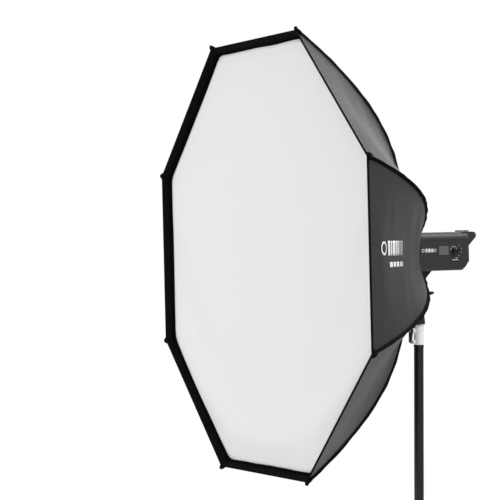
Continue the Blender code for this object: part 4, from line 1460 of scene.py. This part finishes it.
    @staticmethod
    def welded(mesh: bpy.types.Mesh) -> bpy.types.Mesh:
        """The mesh with its first and last rings made one."""
        shape = bmesh.new()
        shape.from_mesh(mesh)
        name = mesh.name
        bpy.data.meshes.remove(mesh)
        bmesh.ops.remove_doubles(shape, verts=shape.verts, dist=1e-6)
        return mesh_of(shape, name, 50.0)

    def octagon_sheet(
        self, name: str, radius: float, depth: float, rings: int, sag: float, node: str
    ) -> bpy.types.Object:
        """A stretched sheet across the softbox, settled by a cloth simulation.

        Args:
            name: the piece's name.
            radius: its corners' distance from the axis.
            depth: its depth behind the front rim.
            rings: how many rings of faces it has.
            sag: how loosely it is cut, as a share of its size.
            node: the CAD node that it stands for.

        Returns:
            The piece.
        """
        per_side = 10
        columns = SIDES * per_side
        shape = bmesh.new()
        centre = shape.verts.new(self.at(0, depth, 0))
        rim = self.outline_ring(self.front_y + depth, per_side, 5 * MM)
        scale = radius / (self.tip - self.tape_inset / math.cos(FIRST_CORNER) + 5 * MM)
        rows = [
            [shape.verts.new(centre.co.lerp(point, scale * r / rings)) for point in rim]
            for r in range(1, rings + 1)
        ]
        for c in range(columns):
            shape.faces.new((centre, rows[0][c], rows[0][(c + 1) % columns]))
        for low, high in zip(rows, rows[1:]):
            for c in range(columns):
                n = (c + 1) % columns
                shape.faces.new((low[c], high[c], high[n], low[n]))
        mesh = mesh_of(shape, name, 60.0)
        start = bpy.data.objects.new(name, mesh)
        bpy.context.scene.collection.objects.link(start)
        outer = len(mesh.vertices) - columns
        weights = [1.0 if i >= outer else 0.0 for i in range(len(mesh.vertices))]
        self.settle(start, weights, shrink=-sag, stiffness=12.0)
        mesh = start.data
        bpy.data.objects.remove(start)
        layer = mesh.uv_layers.new(name=WEAVE_UV)
        for loop in mesh.loops:
            place = mesh.vertices[loop.vertex_index].co
            layer.data[loop.index].uv = (place.x, place.z - self.axis_z)
        smoothed(mesh, 60.0)
        made = self.shop.piece(name, mesh, WHITE_RIPSTOP, Body.SOFTBOX.value, Slot.DIFFUSER.value, [node])
        finer = made.modifiers.new("finer", "SUBSURF")
        finer.levels = finer.render_levels = 1
        finer.boundary_smooth = "PRESERVE_CORNERS"
        thick = made.modifiers.new("cloth", "SOLIDIFY")
        thick.thickness = 0.5 * MM
        thick.offset = 0.0
        side = 2 * radius * math.cos(FIRST_CORNER)
        area = SIDES * (side / 2) ** 2 * math.tan(FIRST_CORNER)
        return made

    def make_corners(self) -> None:
        """The webbing pocket on each corner, which takes the rod's tip."""
        reach, root = 9 * MM, 26 * MM
        for corner in range(SIDES):
            angle = FIRST_CORNER + corner * 2 * math.pi / SIDES
            out = Vector((math.cos(angle), 0, math.sin(angle)))
            side = Vector((-math.sin(angle), 0, math.cos(angle)))
            forward = Vector((0, -1, 0))
            tip = self.at(self.tip, 0.0, angle)
            along = (out * 0.94 + forward * 0.12).normalized()
            back = (self.grid[self.along - 3][corner * self.across] - tip).normalized()
            turn = 0.25 * noise.noise(Vector((corner * 1.9, 0.5, 0.2)))
            centres, sides, ups = [], [], []
            stations = (
                (-root, 1.0), (-root * 0.6, 1.0), (-root * 0.2, 1.0), (0.0, 1.0),
                (reach * 0.35, 0.72), (reach * 0.75, 0.38), (reach, 0.16),
            )
            widths = []
            for place, width in stations:
                direction = along if place > 0 else -back
                centres.append(tip + direction * place + side * turn * max(place, 0.0) + out * 2.5 * MM)
                sides.append(side)
                ups.append(direction.cross(side).normalized())
                widths.append(width)
            section = ellipse_section(12 * MM, 6.5 * MM, steps=14)
            rows = []
            for centre, across, up, width in zip(centres, sides, ups, widths):
                tall = 0.45 + 0.55 * width
                rows.append([centre + across * x * width + up * y * tall for x, y in section])
            wrapped = [*section, section[0]]
            mesh = sheet_mesh(
                f"corner_pocket_{corner + 1}", rows,
                lambda r, c: (wrapped[c][0], stations[r][0]), wrap=True,
            )
            self.close_ends(mesh, len(rows), len(section))
            pocket = self.shop.piece(
                f"corner_pocket_{corner + 1}", mesh, ROD_SLEEVE, Body.SOFTBOX.value, Slot.BAND.value
            )
            finer = pocket.modifiers.new("finer", "SUBSURF")
            finer.levels = finer.render_levels = 1

    def make_cuff(self) -> None:
        """The elastic cuff that closes the shell's rear opening round the speedring."""
        columns = 160
        rear_depth = self.seam_depth(self.rear)
        profile = (
            (self.rear + 6 * MM, rear_depth - 4.5 * MM), (self.rear + 2 * MM, rear_depth + 1.0 * MM),
            (self.rear - 4 * MM, rear_depth + 6.0 * MM), (self.rear - 11 * MM, rear_depth + 9.5 * MM),
            (self.rear - 18 * MM, rear_depth + 11.0 * MM), (self.rear - 22 * MM, rear_depth + 10.5 * MM),
        )
        rows = []
        for k, (radius, depth) in enumerate(profile):
            row = []
            for c in range(columns):
                angle = FIRST_CORNER + 2 * math.pi * c / columns
                gore_part = ((c / columns * SIDES) % 1.0) - 0.5
                octagon = math.cos(FIRST_CORNER) / math.cos(gore_part * 2 * FIRST_CORNER)
                blend = 1 - k / (len(profile) - 1)
                reach = radius * (1 + (octagon - 1) * blend)
                pleat = 1.3 * MM * math.sin(c * 2 * math.pi * 40 / columns) * min(1.0, k / 3)
                pleat += 0.9 * MM * noise.noise(Vector((c * 0.3, k * 0.4, 7.0)))
                row.append(self.at(reach, depth + pleat, angle))
            rows.append(row)
        circle = [2 * math.pi * self.rear * c / columns for c in range(columns + 1)]
        mesh = sheet_mesh("rear_cuff", rows, lambda r, c: (r * 7 * MM, circle[c]), wrap=True)
        self.face_back(mesh)
        cuff = self.shop.piece("rear_cuff", mesh, CUFF_NYLON, Body.SOFTBOX.value, Slot.SHELL.value)
        thick = cuff.modifiers.new("cloth", "SOLIDIFY")
        thick.thickness = 1.0 * MM
        thick.offset = 0.0
        finer = cuff.modifiers.new("finer", "SUBSURF")
        finer.levels = finer.render_levels = 1
        radius, depth = profile[-1]
        path = [self.at(radius, depth, FIRST_CORNER + 2 * math.pi * c / columns) for c in range(columns)]
        outs = [(p - Vector((0, p.y, self.axis_z))).normalized() for p in path]
        backs = [Vector((0, 1, 0))] * columns
        bead = band_mesh("cuff_elastic", path, outs, backs, ellipse_section(2.4 * MM, 1.9 * MM), closed=True)
        self.shop.piece("cuff_elastic", bead, ROD_SLEEVE, Body.SOFTBOX.value, Slot.BAND.value)

    @staticmethod
    def face_back(mesh: bpy.types.Mesh) -> None:
        """Turns a sheet's faces towards the rear."""
        if sum(face.normal.y for face in mesh.polygons) < 0:
            mesh.flip_normals()

    def patch(
        self, name: str, radii: Point, heights: Point, lift: float, columns: int = 24, rows: int = 6
    ) -> bpy.types.Mesh:
        """A rectangle of ink laid on the gore at the +X side.

        Args:
            name: the mesh's name.
            radii: the seam radius at its front and rear ends.
            heights: its top and bottom, above the light's axis.
            lift: how far out of the cloth it lies.
            columns: how many faces long.
            rows: how many faces tall.

        Returns:
            The mesh.
        """
        gore = SIDES - 1
        points = []
        for j in range(rows + 1):
            z = heights[0] + (heights[1] - heights[0]) * j / rows
            row = []
            for i in range(columns + 1):
                radius = radii[0] + (radii[1] - radii[0]) * i / columns
                share = (radius - self.rear) / (self.tip - self.rear)
                u = z / (2 * radius * math.sin(FIRST_CORNER)) + 0.5
                row.append(self.on_cloth(gore + u, share, lift))
            points.append(row)
        span = abs(radii[0] - radii[1])
        return sheet_mesh(name, points, lambda r, c: (c * span / columns, r * MM))

    def make_print(self) -> None:
        """Plain printed marks on the side gore: an octagon and two rows of upright bars, with no lettering."""
        lift = 1.0 * MM
        bars = []
        for front, rear, top, bottom in (
            (0.675, 0.662, 0.040, -0.004), (0.658, 0.651, 0.040, -0.004), (0.647, 0.631, 0.040, -0.004),
            (0.627, 0.620, 0.040, -0.004), (0.616, 0.609, 0.040, -0.004), (0.603, 0.600, 0.040, -0.004),
            (0.594, 0.591, 0.040, -0.004), (0.585, 0.582, 0.040, -0.004),
            (0.667, 0.648, -0.023, -0.038), (0.643, 0.629, -0.023, -0.038), (0.624, 0.608, -0.023, -0.038),
            (0.601, 0.593, -0.023, -0.038), (0.589, 0.583, -0.023, -0.038),
        ):
            bars.append(self.patch("bar", (front, rear), (top, bottom), lift, 4, 6))
        outer, inner = 0.022, 0.015
        centre_radius, centre_height = 0.696, 0.018
        steps = 8
        rows: list[list[Vector]] = [[], []]
        for k in range(steps * 3 + 1):
            side, part = divmod(k, 3)
            for row, reach in zip(rows, (outer, inner)):
                first = FIRST_CORNER + side * 2 * math.pi / steps
                second = first + 2 * math.pi / steps
                a = Vector((math.cos(first), math.sin(first))) * reach
                b = Vector((math.cos(second), math.sin(second))) * reach
                spot = a.lerp(b, part / 3)
                radius = centre_radius + spot.x * 0.62
                share = (radius - self.rear) / (self.tip - self.rear)
                u = (centre_height + spot.y) / (2 * radius * math.sin(FIRST_CORNER)) + 0.5
                row.append(self.on_cloth(SIDES - 1 + u, share, lift))
        ring = sheet_mesh("ring", rows, lambda r, c: (c * MM, r * MM))
        ink = joined("side_print", [*bars, ring])
        made = self.shop.piece("side_print", ink, WHITE_INK, Body.SOFTBOX.value, Slot.PRINT.value)
        thick = made.modifiers.new("ink", "SOLIDIFY")
        thick.thickness = 0.25 * MM
        thick.offset = 0.0

    def build(self) -> None:
        """Makes the whole softbox."""
        self.make_cloth()
        self.make_sleeves()
        self.make_rim()
        reach = self.tip - self.tape_inset / math.cos(FIRST_CORNER) + 5 * MM
        self.octagon_sheet("diffuser_sheet", reach, 27 * MM, 22, 0.0015, "front_diffuser")
        self.octagon_sheet("baffle_sheet", 0.490, 0.2705, 10, 0.004, "inner_baffle")
        self.make_corners()
        self.make_cuff()
        self.make_print()
        for number in range(1, SIDES + 1):
            self.shop.refined(f"rod_{number}", FIBREGLASS, 0.0)
        self.shop.refine_all((
            ("speedring", SATIN_ALLOY, 0.4),
            ("speedring_thumbscrew", JOINT_NYLON, 0.4),
            ("bayonet_adapter", SATIN_ALLOY, 0.4),
        ))


# The flash head -----------------------------------------------------------------------------------


@dataclass
class FlashHead:
    """The head's casing, its controls and its printed marks."""

    shop: Workshop
    side_x: float = field(init=False)
    dial: Vector = field(init=False)

    def __post_init__(self) -> None:
        """Reads the places of the controls from the frame."""
        self.side_x = self.shop.level_box("head_casing")[1].x
        self.dial = self.middle("power_dial")

    def middle(self, node: str) -> Vector:
        """The middle of a node's level box."""
        low, high = self.shop.level_box(node)
        return (low + high) / 2

    def on_side(self, y: float, z: float, lift: float = 0.0) -> Matrix:
        """A matrix on the control side whose local X runs back, Y up and Z out of the casing."""
        turn = Matrix(((0, 0, 1, 0), (1, 0, 0, 0), (0, 1, 0, 0), (0, 0, 0, 1)))
        return Matrix.Translation((self.side_x + lift, y, z)) @ turn

    def mark(self, y: float, z: float, width: float, height: float, corner: float = 0.0) -> bpy.types.Mesh:
        """A small printed bar on the control side.

        Args:
            y: its middle, along the head.
            z: its middle height.
            width: its length along the head.
            height: its height.
            corner: the radius of its corners.

        Returns:
            The mesh.
        """
        half_w, half_h = width / 2, height / 2
        corner = min(corner, half_h * 0.98, half_w * 0.98) or 0.0001
        outline = []
        for sx, sy, start in ((1, 1, 0), (-1, 1, 90), (-1, -1, 180), (1, -1, 270)):
            centre = (sx * (half_w - corner), sy * (half_h - corner))
            outline += arc_points(centre, corner, start, start + 90, 3)
        return plate_mesh("mark", outline, 0.12 * MM, self.on_side(y, z, 0.02 * MM))

    def ring_mark(
        self, y: float, z: float, radius: float, width: float, start: float, end: float
    ) -> bpy.types.Mesh:
        """A printed arc on the control side, angles in degrees."""
        steps = max(6, int(abs(end - start) / 9))
        outline = arc_points((0, 0), radius + width / 2, start, end, steps)
        outline += arc_points((0, 0), radius - width / 2, end, start, steps)
        return plate_mesh("arc", outline, 0.12 * MM, self.on_side(y, z, 0.02 * MM))

    def make_marks(self) -> None:
        """The printed marks: a scale round the dial, an icon by each button and plain bars."""
        dial = self.dial
        marks = [self.ring_mark(dial.y, dial.z, 13.4 * MM, 0.9 * MM, 40, 175)]
        for k in range(9):
            angle = math.radians(215 - k * 31.25)
            spot = Vector((math.cos(angle), math.sin(angle))) * 16.0 * MM
            if spot.x < 8 * MM:
                marks.append(self.mark(dial.y + spot.x, dial.z + spot.y, 1.0 * MM, 1.0 * MM, 0.5 * MM))
        for number in range(1, 5):
            button = self.middle(f"button_{number}")
            marks.append(self.mark(button.y + 6.8 * MM, button.z + 1.6 * MM, 3.0 * MM, 1.1 * MM, 0.3 * MM))
            marks.append(self.mark(button.y + 6.2 * MM, button.z - 0.8 * MM, 1.6 * MM, 1.1 * MM, 0.3 * MM))
        base_y = self.shop.level_box("display_window")[0].y
        for behind, width in ((50, 5), (43, 3), (37.5, 5), (31, 3), (25, 4), (20, 1.2), (16, 1.2), (12, 1.2)):
            marks.append(self.mark(base_y - behind * MM, 1.686, width * MM, 12 * MM, 0.5 * MM))
        marks.append(self.ring_mark(base_y - 62 * MM, 1.686, 4.6 * MM, 1.6 * MM, 0, 345))
        marks.append(self.mark(dial.y + 4 * MM, dial.z - 31 * MM, 24 * MM, 1.6 * MM, 0.4 * MM))
        marks.append(self.mark(dial.y + 8 * MM, dial.z - 25 * MM, 9 * MM, 1.4 * MM, 0.4 * MM))
        self.shop.piece(
            "control_print", joined("control_print", marks), WHITE_INK, Body.HEAD.value, Slot.PRINT.value
        )
        pointer = plate_mesh(
            "dial_pointer",
            [(-0.45 * MM, 4 * MM), (0.45 * MM, 4 * MM), (0.45 * MM, 9 * MM), (-0.45 * MM, 9 * MM)],
            0.15 * MM, Matrix.Translation((self.shop.level_box("power_dial")[1].x - self.side_x, 0, 0))
            @ self.on_side(dial.y, dial.z),
        )
        self.shop.piece("dial_pointer", pointer, WHITE_INK, "dial", Slot.PRINT.value)

    def make_dial_grip(self) -> None:
        """The knurled ring round the dial's edge."""
        ribs = 36
        radius = 10.6 * MM
        outline = []
        for k in range(ribs * 2):
            reach = radius + (0.45 * MM if k % 2 else -0.05 * MM)
            angle = math.pi * k / ribs
            outline.append((reach * math.cos(angle), reach * math.sin(angle)))
        mesh = plate_mesh(
            "dial_grip", outline, 8.5 * MM, self.on_side(self.dial.y, self.dial.z, 1.2 * MM), bevel=0.15 * MM
        )
        self.shop.piece("dial_grip", mesh, CONTROL_PLASTIC, "dial", Slot.CONTROL.value)

    def screw(self, centre: Vector, direction: Vector, radius: float = 2.6 * MM) -> list[bpy.types.Mesh]:
        """A countersunk screw's head with a cross in it.

        Args:
            centre: the middle of its face.
            direction: the way that it faces.
            radius: the head's radius.

        Returns:
            Its meshes.
        """
        matrix = towards(centre, direction)
        profile = [(radius, -0.6 * MM), (radius, 0.05 * MM), (radius * 0.8, 0.45 * MM), (0.0, 0.6 * MM)]
        head = lathe_mesh("screw", profile, matrix, 20)
        bars = []
        for turn in (0.4, 0.4 + math.pi / 2):
            outline = [
                (-1.7 * MM, -0.3 * MM), (1.7 * MM, -0.3 * MM), (1.7 * MM, 0.3 * MM), (-1.7 * MM, 0.3 * MM),
            ]
            place = matrix @ Matrix.Rotation(turn, 4, "Z") @ Matrix.Translation((0, 0, 0.42 * MM))
            bars.append(plate_mesh("slot", outline, 0.3 * MM, place))
        return [head, *bars]

    def make_screws(self) -> None:
        """The screws in the casing's two sides and in the rear cover."""
        low, high = self.shop.level_box("head_casing")
        meshes: list[bpy.types.Mesh] = []
        for side in (-1, 1):
            for y, z in ((low.y + 19.5 * MM, 1.666), (low.y + 14 * MM, 1.704), (high.y - 12 * MM, 1.631)):
                meshes += self.screw(Vector((side * (high.x - 0.1 * MM), y, z)), Vector((side, 0, 0)), 2.0 * MM)
        face = self.shop.level_box("mains_inlet")[1].y - 0.3 * MM
        for x in (-0.052, 0.052):
            meshes += self.screw(Vector((x, face, 1.654)), Vector((0, 1, 0)))
        self.shop.piece(
            "casing_screws", joined("casing_screws", meshes), BLACK_ALLOY, Body.HEAD.value, Slot.STEEL.value
        )

    def make_grip_pad(self) -> None:
        """The ribbed soft pad on the overhanging grip."""
        high = self.shop.level_box("rear_cover")[1]
        top = self.shop.level_box("head_casing")[1].z
        ribs = []
        for k in range(7):
            y = high.y - 11 * MM - k * 4.2 * MM
            if y < self.shop.level_box("sensor_cover")[1].y - 2 * MM:
                span = ((-0.046, -0.017), (0.017, 0.046))
            else:
                span = ((-0.046, 0.046),)
            for x0, x1 in span:
                outline = arc_points((x1 - 1.0 * MM, 0), 1.0 * MM, -90, 90, 4)
                outline += arc_points((x0 + 1.0 * MM, 0), 1.0 * MM, 90, 270, 4)
                place = Matrix.Translation((0, y, top - 0.7 * MM))
                ribs.append(plate_mesh("rib", outline, 0.8 * MM, place, 0.2 * MM))
        self.shop.piece("grip_ribs", joined("grip_ribs", ribs), FOOT_RUBBER, Body.HEAD.value, Slot.HEAD.value)

    def make_crease_shade(self) -> None:
        """A thin dark strip along each side of the casing, under its rounded top: painted shade for the shadow
        in a parting groove.
        """
        low, high = self.shop.level_box("head_casing")
        shade_strips = []
        for side in (-1, 1):
            outline = [
                (low.y + 24 * MM, -0.7 * MM), (high.y, -0.7 * MM),
                (high.y, 0.7 * MM), (low.y + 24 * MM, 0.7 * MM),
            ]
            turn = Matrix(((0, 0, side, 0), (side, 0, 0, 0), (0, 1, 0, 0), (0, 0, 0, 1)))
            outline = [(y * side, z) for y, z in outline][::side]
            place = Matrix.Translation((side * (high.x - 0.05 * MM), 0, AXIS_HEIGHT + 39.5 * MM)) @ turn
            # Painted shade: a flat dark strip laid proud of the casing where the groove's shadow falls, not a
            # cut groove.
            shade_strips.append(plate_mesh("groove", outline, 0.12 * MM, place))
        self.shop.piece(
            "casing_crease_shade", joined("casing_crease_shade", shade_strips), CONTROL_PLASTIC, Body.HEAD.value, Slot.HEAD.value
        )

    def make_rear_sockets(self) -> None:
        """The sync socket and the fuse holder beside the inlet."""
        face = self.shop.level_box("mains_inlet")[1].y - 0.3 * MM
        facing = Vector((0, 1, 0))
        nut = lathe_mesh(
            "sync_nut",
            [(5.2 * MM, -1 * MM), (5.2 * MM, 2.2 * MM), (4.4 * MM, 2.8 * MM), (2.1 * MM, 2.8 * MM),
             (1.9 * MM, 0.6 * MM), (0.0, 0.6 * MM)],
            towards(Vector((-0.028, face, 1.6835)), facing), 6, 0.2 * MM,
        )
        fuse = lathe_mesh(
            "fuse_cap",
            [(6.2 * MM, -1 * MM), (6.2 * MM, 1.2 * MM), (5.2 * MM, 1.6 * MM), (5.0 * MM, 5.0 * MM),
             (4.4 * MM, 5.8 * MM), (0.0, 5.8 * MM)],
            towards(Vector((-0.0035, face, 1.662)), facing), 28, 0.2 * MM,
        )
        self.shop.piece("sync_socket", nut, TURNED_STEEL, Body.HEAD.value, Slot.STEEL.value)
        self.shop.piece("fuse_holder", fuse, CONTROL_PLASTIC, Body.HEAD.value, Slot.CONTROL.value)

    def build(self) -> None:
        """Makes the whole head."""
        shop = self.shop
        shop.refine_all((
            ("head_casing", CASING_PLASTIC, 0.8),
            ("rear_cover", CASING_PLASTIC, 1.0),
            ("mount_ring", BLACK_ALLOY, 0.5),
            ("display_window", SMOKED_WINDOW, 0.3),
            ("power_dial", CONTROL_PLASTIC, 0.4),
            *((f"button_{number}", CONTROL_PLASTIC, 0.2) for number in range(1, 5)),
            ("power_switch", CONTROL_PLASTIC, 0.4),
            ("mains_inlet", JOINT_NYLON, 0.3),
            ("sensor_cover", SMOKED_WINDOW, 0.4),
            ("bayonet_release", JOINT_NYLON, 0.5),
            ("lamp_base", CERAMIC, 0.5),
            ("flash_tube", LAMP_GLASS, 0.0),
            ("modelling_lamp", LAMP_GLASS, 0.0),
            ("glass_dome", LAMP_GLASS, 0.0),
            ("capacitor", CAN_SLEEVE, 1.0),
            ("circuit_board", BOARD, 0.1),
            ("fan_rotor", JOINT_NYLON, 0.2),
            ("tilt_yoke", BLACK_ALLOY, 1.6),
        ))
        self.make_marks()
        self.make_dial_grip()
        self.make_screws()
        self.make_grip_pad()
        self.make_crease_shade()
        self.make_rear_sockets()


# The stand ----------------------------------------------------------------------------------------


@dataclass
class Stand:
    """The fork, the telescoping column and the folding legs."""

    shop: Workshop
    column_y: float = field(init=False)

    def __post_init__(self) -> None:
        """Reads the column's place from the frame."""
        low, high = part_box("upper_tube")
        self.column_y = (low.y + high.y) / 2

    def at(self, radius: float, angle: float, z: float) -> Vector:
        """A point round the column."""
        return Vector((radius * math.cos(angle), self.column_y + radius * math.sin(angle), z))

    def make_column_trim(self) -> None:
        """The round knobs on the pale casting and the ring under it."""
        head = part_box("column_head")
        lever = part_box("column_lever")
        facing = Vector((0, -1, 0))
        pivot = Vector((0, lever[0].y, 1.420))
        cap = [(6.2 * MM, 0.0), (6.2 * MM, 2.4 * MM), (5.0 * MM, 3.6 * MM), (0.0, 3.8 * MM)]
        self.shop.piece(
            "lever_cap", lathe_mesh("lever_cap", cap, towards(pivot, facing), 28, 0.3 * MM), GREY_KNOB,
            "mast_lever", Slot.COLUMN.value,
        )
        stud = Vector((0, head[0].y + 1.0 * MM, 1.383))
        knob = [(6.6 * MM, -1.0 * MM), (6.6 * MM, 4.5 * MM), (5.4 * MM, 6.0 * MM), (0.0, 6.2 * MM)]
        self.shop.piece(
            "casting_knob", lathe_mesh("casting_knob", knob, towards(stud, facing), 28, 0.3 * MM), GREY_KNOB,
            Body.MAST.value, Slot.COLUMN.value,
        )
        ring_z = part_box("upper_tube")[1].z
        ring = [(16.2 * MM, -7 * MM), (16.9 * MM, -6.4 * MM), (16.9 * MM, -0.6 * MM), (16.2 * MM, 0.0)]
        self.shop.piece(
            "tube_ring",
            lathe_mesh("tube_ring", ring, Matrix.Translation((0, self.column_y, ring_z - 0.2 * MM)), 48),
            JOINT_NYLON, Body.MAST.value, Slot.JOINT.value,
        )

    def make_collar_ribs(self) -> None:
        """The grip ribs round the clamp collar and round the leg crown."""
        for name, node, body, reach, count in (
            ("collar_ribs", "mid_collar", Body.BASE, 25.9 * MM, 28),
            ("crown_ribs", "leg_crown", Body.CROWN, 27.9 * MM, 24),
        ):
            low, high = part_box(node)
            bottom = low.z + (5 * MM if body is Body.BASE else 6 * MM)
            top = bottom + (26 * MM if body is Body.BASE else 11 * MM)
            ribs = []
            for k in range(count):
                angle = 2 * math.pi * (k + 0.5) / count
                spot = self.at(reach - 0.6 * MM, angle, bottom)
                turn = Matrix.Rotation(angle, 4, "Z")
                outline = [
                    (-1 * MM, -1.1 * MM), (1.2 * MM, -0.7 * MM), (1.2 * MM, 0.7 * MM), (-1 * MM, 1.1 * MM),
                ]
                place = Matrix.Translation(spot) @ turn
                ribs.append(plate_mesh("rib", outline, top - bottom, place, 0.3 * MM))
            self.shop.piece(name, joined(name, ribs), JOINT_NYLON, body.value, Slot.JOINT.value)

    def make_rivets(self) -> None:
        """The domed rivet heads on the pins of the crown."""
        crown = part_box("leg_crown")
        height = (crown[0].z + crown[1].z) / 2
        dome = [(5.2 * MM, 0.0), (5.0 * MM, 1.2 * MM), (3.4 * MM, 2.4 * MM), (0.0, 2.9 * MM)]
        domes = []
        for degrees in (-90, 30, 150):
            angle = math.radians(degrees)
            out = Vector((math.cos(angle), math.sin(angle), 0))
            side = Vector((-math.sin(angle), math.cos(angle), 0))
            for way in (-1, 1):
                centre = Vector((0, self.column_y, height)) + out * PIVOT_RADIUS + side * way * 18.2 * MM
                domes.append(lathe_mesh("dome", dome, towards(centre, side * way), 20))
        self.shop.piece(
            "crown_rivets", joined("crown_rivets", domes), TURNED_STEEL, Body.CROWN.value, Slot.STEEL.value
        )

    def make_leg_trim(self) -> None:
        """The plastic sleeve on each leg where its brace is pinned, and the grooves of its foot."""
        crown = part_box("leg_crown")
        pivot_z = (crown[0].z + crown[1].z) / 2
        for number, degrees in enumerate((-90, 30, 150), start=1):
            angle = math.radians(degrees)
            foot_low, foot_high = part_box(f"foot_{number}")
            foot = (foot_low + foot_high) / 2
            start = self.at(PIVOT_RADIUS, angle, pivot_z)
            end = Vector((foot.x, foot.y, foot.z))
            along = (end - start).normalized()
            body = f"folding_leg_{number}"
            clip = start + along * BRACE_PIN
            profile = [(11.2 * MM, 0.0), (12.1 * MM, 0.8 * MM), (12.1 * MM, 47 * MM), (11.2 * MM, 48 * MM)]
            self.shop.piece(
                f"brace_clip_{number}", lathe_mesh("clip", profile, towards(clip, along), 32), JOINT_NYLON,
                body, Slot.JOINT.value,
            )
            rings = []
            for k in range(4):
                centre = start + along * ((end - start).length - 14 * MM + k * 7 * MM)
                groove = [
                    (14.6 * MM, 0.0), (15.6 * MM, 0.8 * MM), (15.6 * MM, 2.4 * MM), (14.6 * MM, 3.2 * MM),
                ]
                rings.append(lathe_mesh("ring", groove, towards(centre, along), 32))
            self.shop.piece(
                f"foot_rings_{number}", joined("rings", rings), FOOT_RUBBER, body, Slot.RUBBER.value
            )

    def build(self) -> None:
        """Makes the whole stand."""
        shop = self.shop
        shop.refine_all((
            ("stand_receiver", BLACK_ALLOY, 0.8),
            ("tilt_bolt", TURNED_STEEL, 0.3),
            ("tilt_lever", JOINT_NYLON, 1.8),
            ("receiver_knob", JOINT_NYLON, 0.6),
            ("column_head", PALE_CASTING, 0.6),
            ("spigot", TURNED_STEEL, 0.3),
            ("column_lever", JOINT_NYLON, 1.5),
            ("upper_tube", STAND_TUBE, 0.3),
            ("lower_tube", STAND_TUBE, 0.3),
            ("mid_collar", JOINT_NYLON, 0.8),
            ("mid_knob", JOINT_NYLON, 0.5),
            ("leg_crown", JOINT_NYLON, 0.8),
            ("crown_knob", JOINT_NYLON, 0.5),
            ("leg_spider", JOINT_NYLON, 0.8),
        ))
        for number in (1, 2, 3):
            shop.refined(f"leg_{number}", STAND_TUBE, 0.3 * MM)
            shop.refined(f"brace_{number}", BLACK_ALLOY, 0.5 * MM)
            shop.refined(f"foot_{number}", FOOT_RUBBER, 0.6 * MM)
        self.make_column_trim()
        self.make_collar_ribs()
        self.make_rivets()
        self.make_leg_trim()


# The studio ---------------------------------------------------------------------------------------


@dataclass
class Studio:
    """The floor, the light and the camera."""

    focus: Vector
    lens: float = 142.33
    azimuth: float = math.radians(62.227)
    elevation: float = math.radians(-0.630)
    roll: float = math.radians(-0.060)
    stand_off: Vector = field(default_factory=lambda: Vector((5.5675, -2.9610, -0.0634)))

    def make_camera(self) -> None:
        """The camera: level with the light, to the right of its front."""
        az, el = self.azimuth, self.elevation
        back = Vector((math.sin(az) * math.cos(el), -math.cos(az) * math.cos(el), math.sin(el)))
        right = (-back).cross(Vector((0, 0, 1))).normalized()
        up = right.cross(-back)
        cos, sin = math.cos(self.roll), math.sin(self.roll)
        across = right * cos + up * sin
        rise = up * cos - right * sin
        data = bpy.data.cameras.new("studio_camera")
        data.lens = self.lens
        data.sensor_width = 36.0
        data.clip_end = 60.0
        camera = bpy.data.objects.new("studio_camera", data)
        bpy.context.scene.collection.objects.link(camera)
        turn = Matrix((across, rise, back)).transposed().to_4x4()
        camera.matrix_world = Matrix.Translation(self.focus + self.stand_off) @ turn
        bpy.context.scene.camera = camera

    def make_lights(self) -> None:
        """A white room, a large soft light above and a gentle one from the camera's left."""
        scene = bpy.context.scene
        scene.view_settings.view_transform = "Standard"
        scene.view_settings.look = "None"
        world = bpy.data.worlds.new("white_room")
        scene.world = world
        world.use_nodes = True
        tree = world.node_tree
        seen = tree.nodes["Background"]
        seen.inputs["Color"].default_value = (1.0, 1.0, 1.0, 1.0)
        seen.inputs["Strength"].default_value = 1.0
        lighting = tree.nodes.new("ShaderNodeBackground")
        lighting.inputs["Color"].default_value = (1.0, 1.0, 1.0, 1.0)
        lighting.inputs["Strength"].default_value = 0.44
        path = tree.nodes.new("ShaderNodeLightPath")
        either = tree.nodes.new("ShaderNodeMixShader")
        tree.links.new(path.outputs["Is Camera Ray"], either.inputs[0])
        tree.links.new(lighting.outputs[0], either.inputs[1])
        tree.links.new(seen.outputs[0], either.inputs[2])
        tree.links.new(either.outputs[0], tree.nodes["World Output"].inputs["Surface"])
        for name, place, size, power in (
            ("overhead_light", Vector((0.9, 0.6, 4.6)), 3.0, 170.0),
            ("front_light", Vector((-1.6, -5.0, 2.6)), 3.2, 104.0),
            ("side_light", Vector((4.6, -1.2, 2.8)), 2.4, 25.0),
            ("edge_light", Vector((-3.5, 3.3, 3.3)), 2.6, 20.0),
        ):
            data = bpy.data.lights.new(name, "AREA")
            data.energy = power
            data.size = size
            light = bpy.data.objects.new(name, data)
            bpy.context.scene.collection.objects.link(light)
            light.location = place
            light.visible_camera = False
            light.rotation_euler = (self.focus - place).to_track_quat("-Z", "Y").to_euler()

    def make_floor(self) -> None:
        """The pale floor."""
        mesh = lathe_mesh("studio_floor", [(4.2, -0.02), (4.2, 0.0), (0.0, 0.0)], Matrix.Identity(4), 96)
        floor = bpy.data.objects.new("studio_floor", mesh)
        bpy.context.scene.collection.objects.link(floor)
        mesh.materials.append(PALE_FLOOR.material())

    def build(self) -> None:
        """Makes the studio."""
        self.make_camera()
        self.make_lights()
        self.make_floor()


def corners(box: tuple[Vector, Vector]) -> list[list[float]]:
    """A box as plain lists of numbers."""
    return [[round(float(part), 5) for part in corner] for corner in box]


def main() -> None:
    """Builds the looks round the frame, piece by piece."""
    logging.basicConfig(level=logging.INFO, format="%(name)s: %(message)s")
    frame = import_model()
    shop = Workshop(frame)
    softbox = Softbox(shop)
    Studio(focus=Vector((0, softbox.front_y, softbox.axis_z))).build()
    softbox.build()
    FlashHead(shop).build()
    Stand(shop).build()


if __name__ == "__main__":
    main()
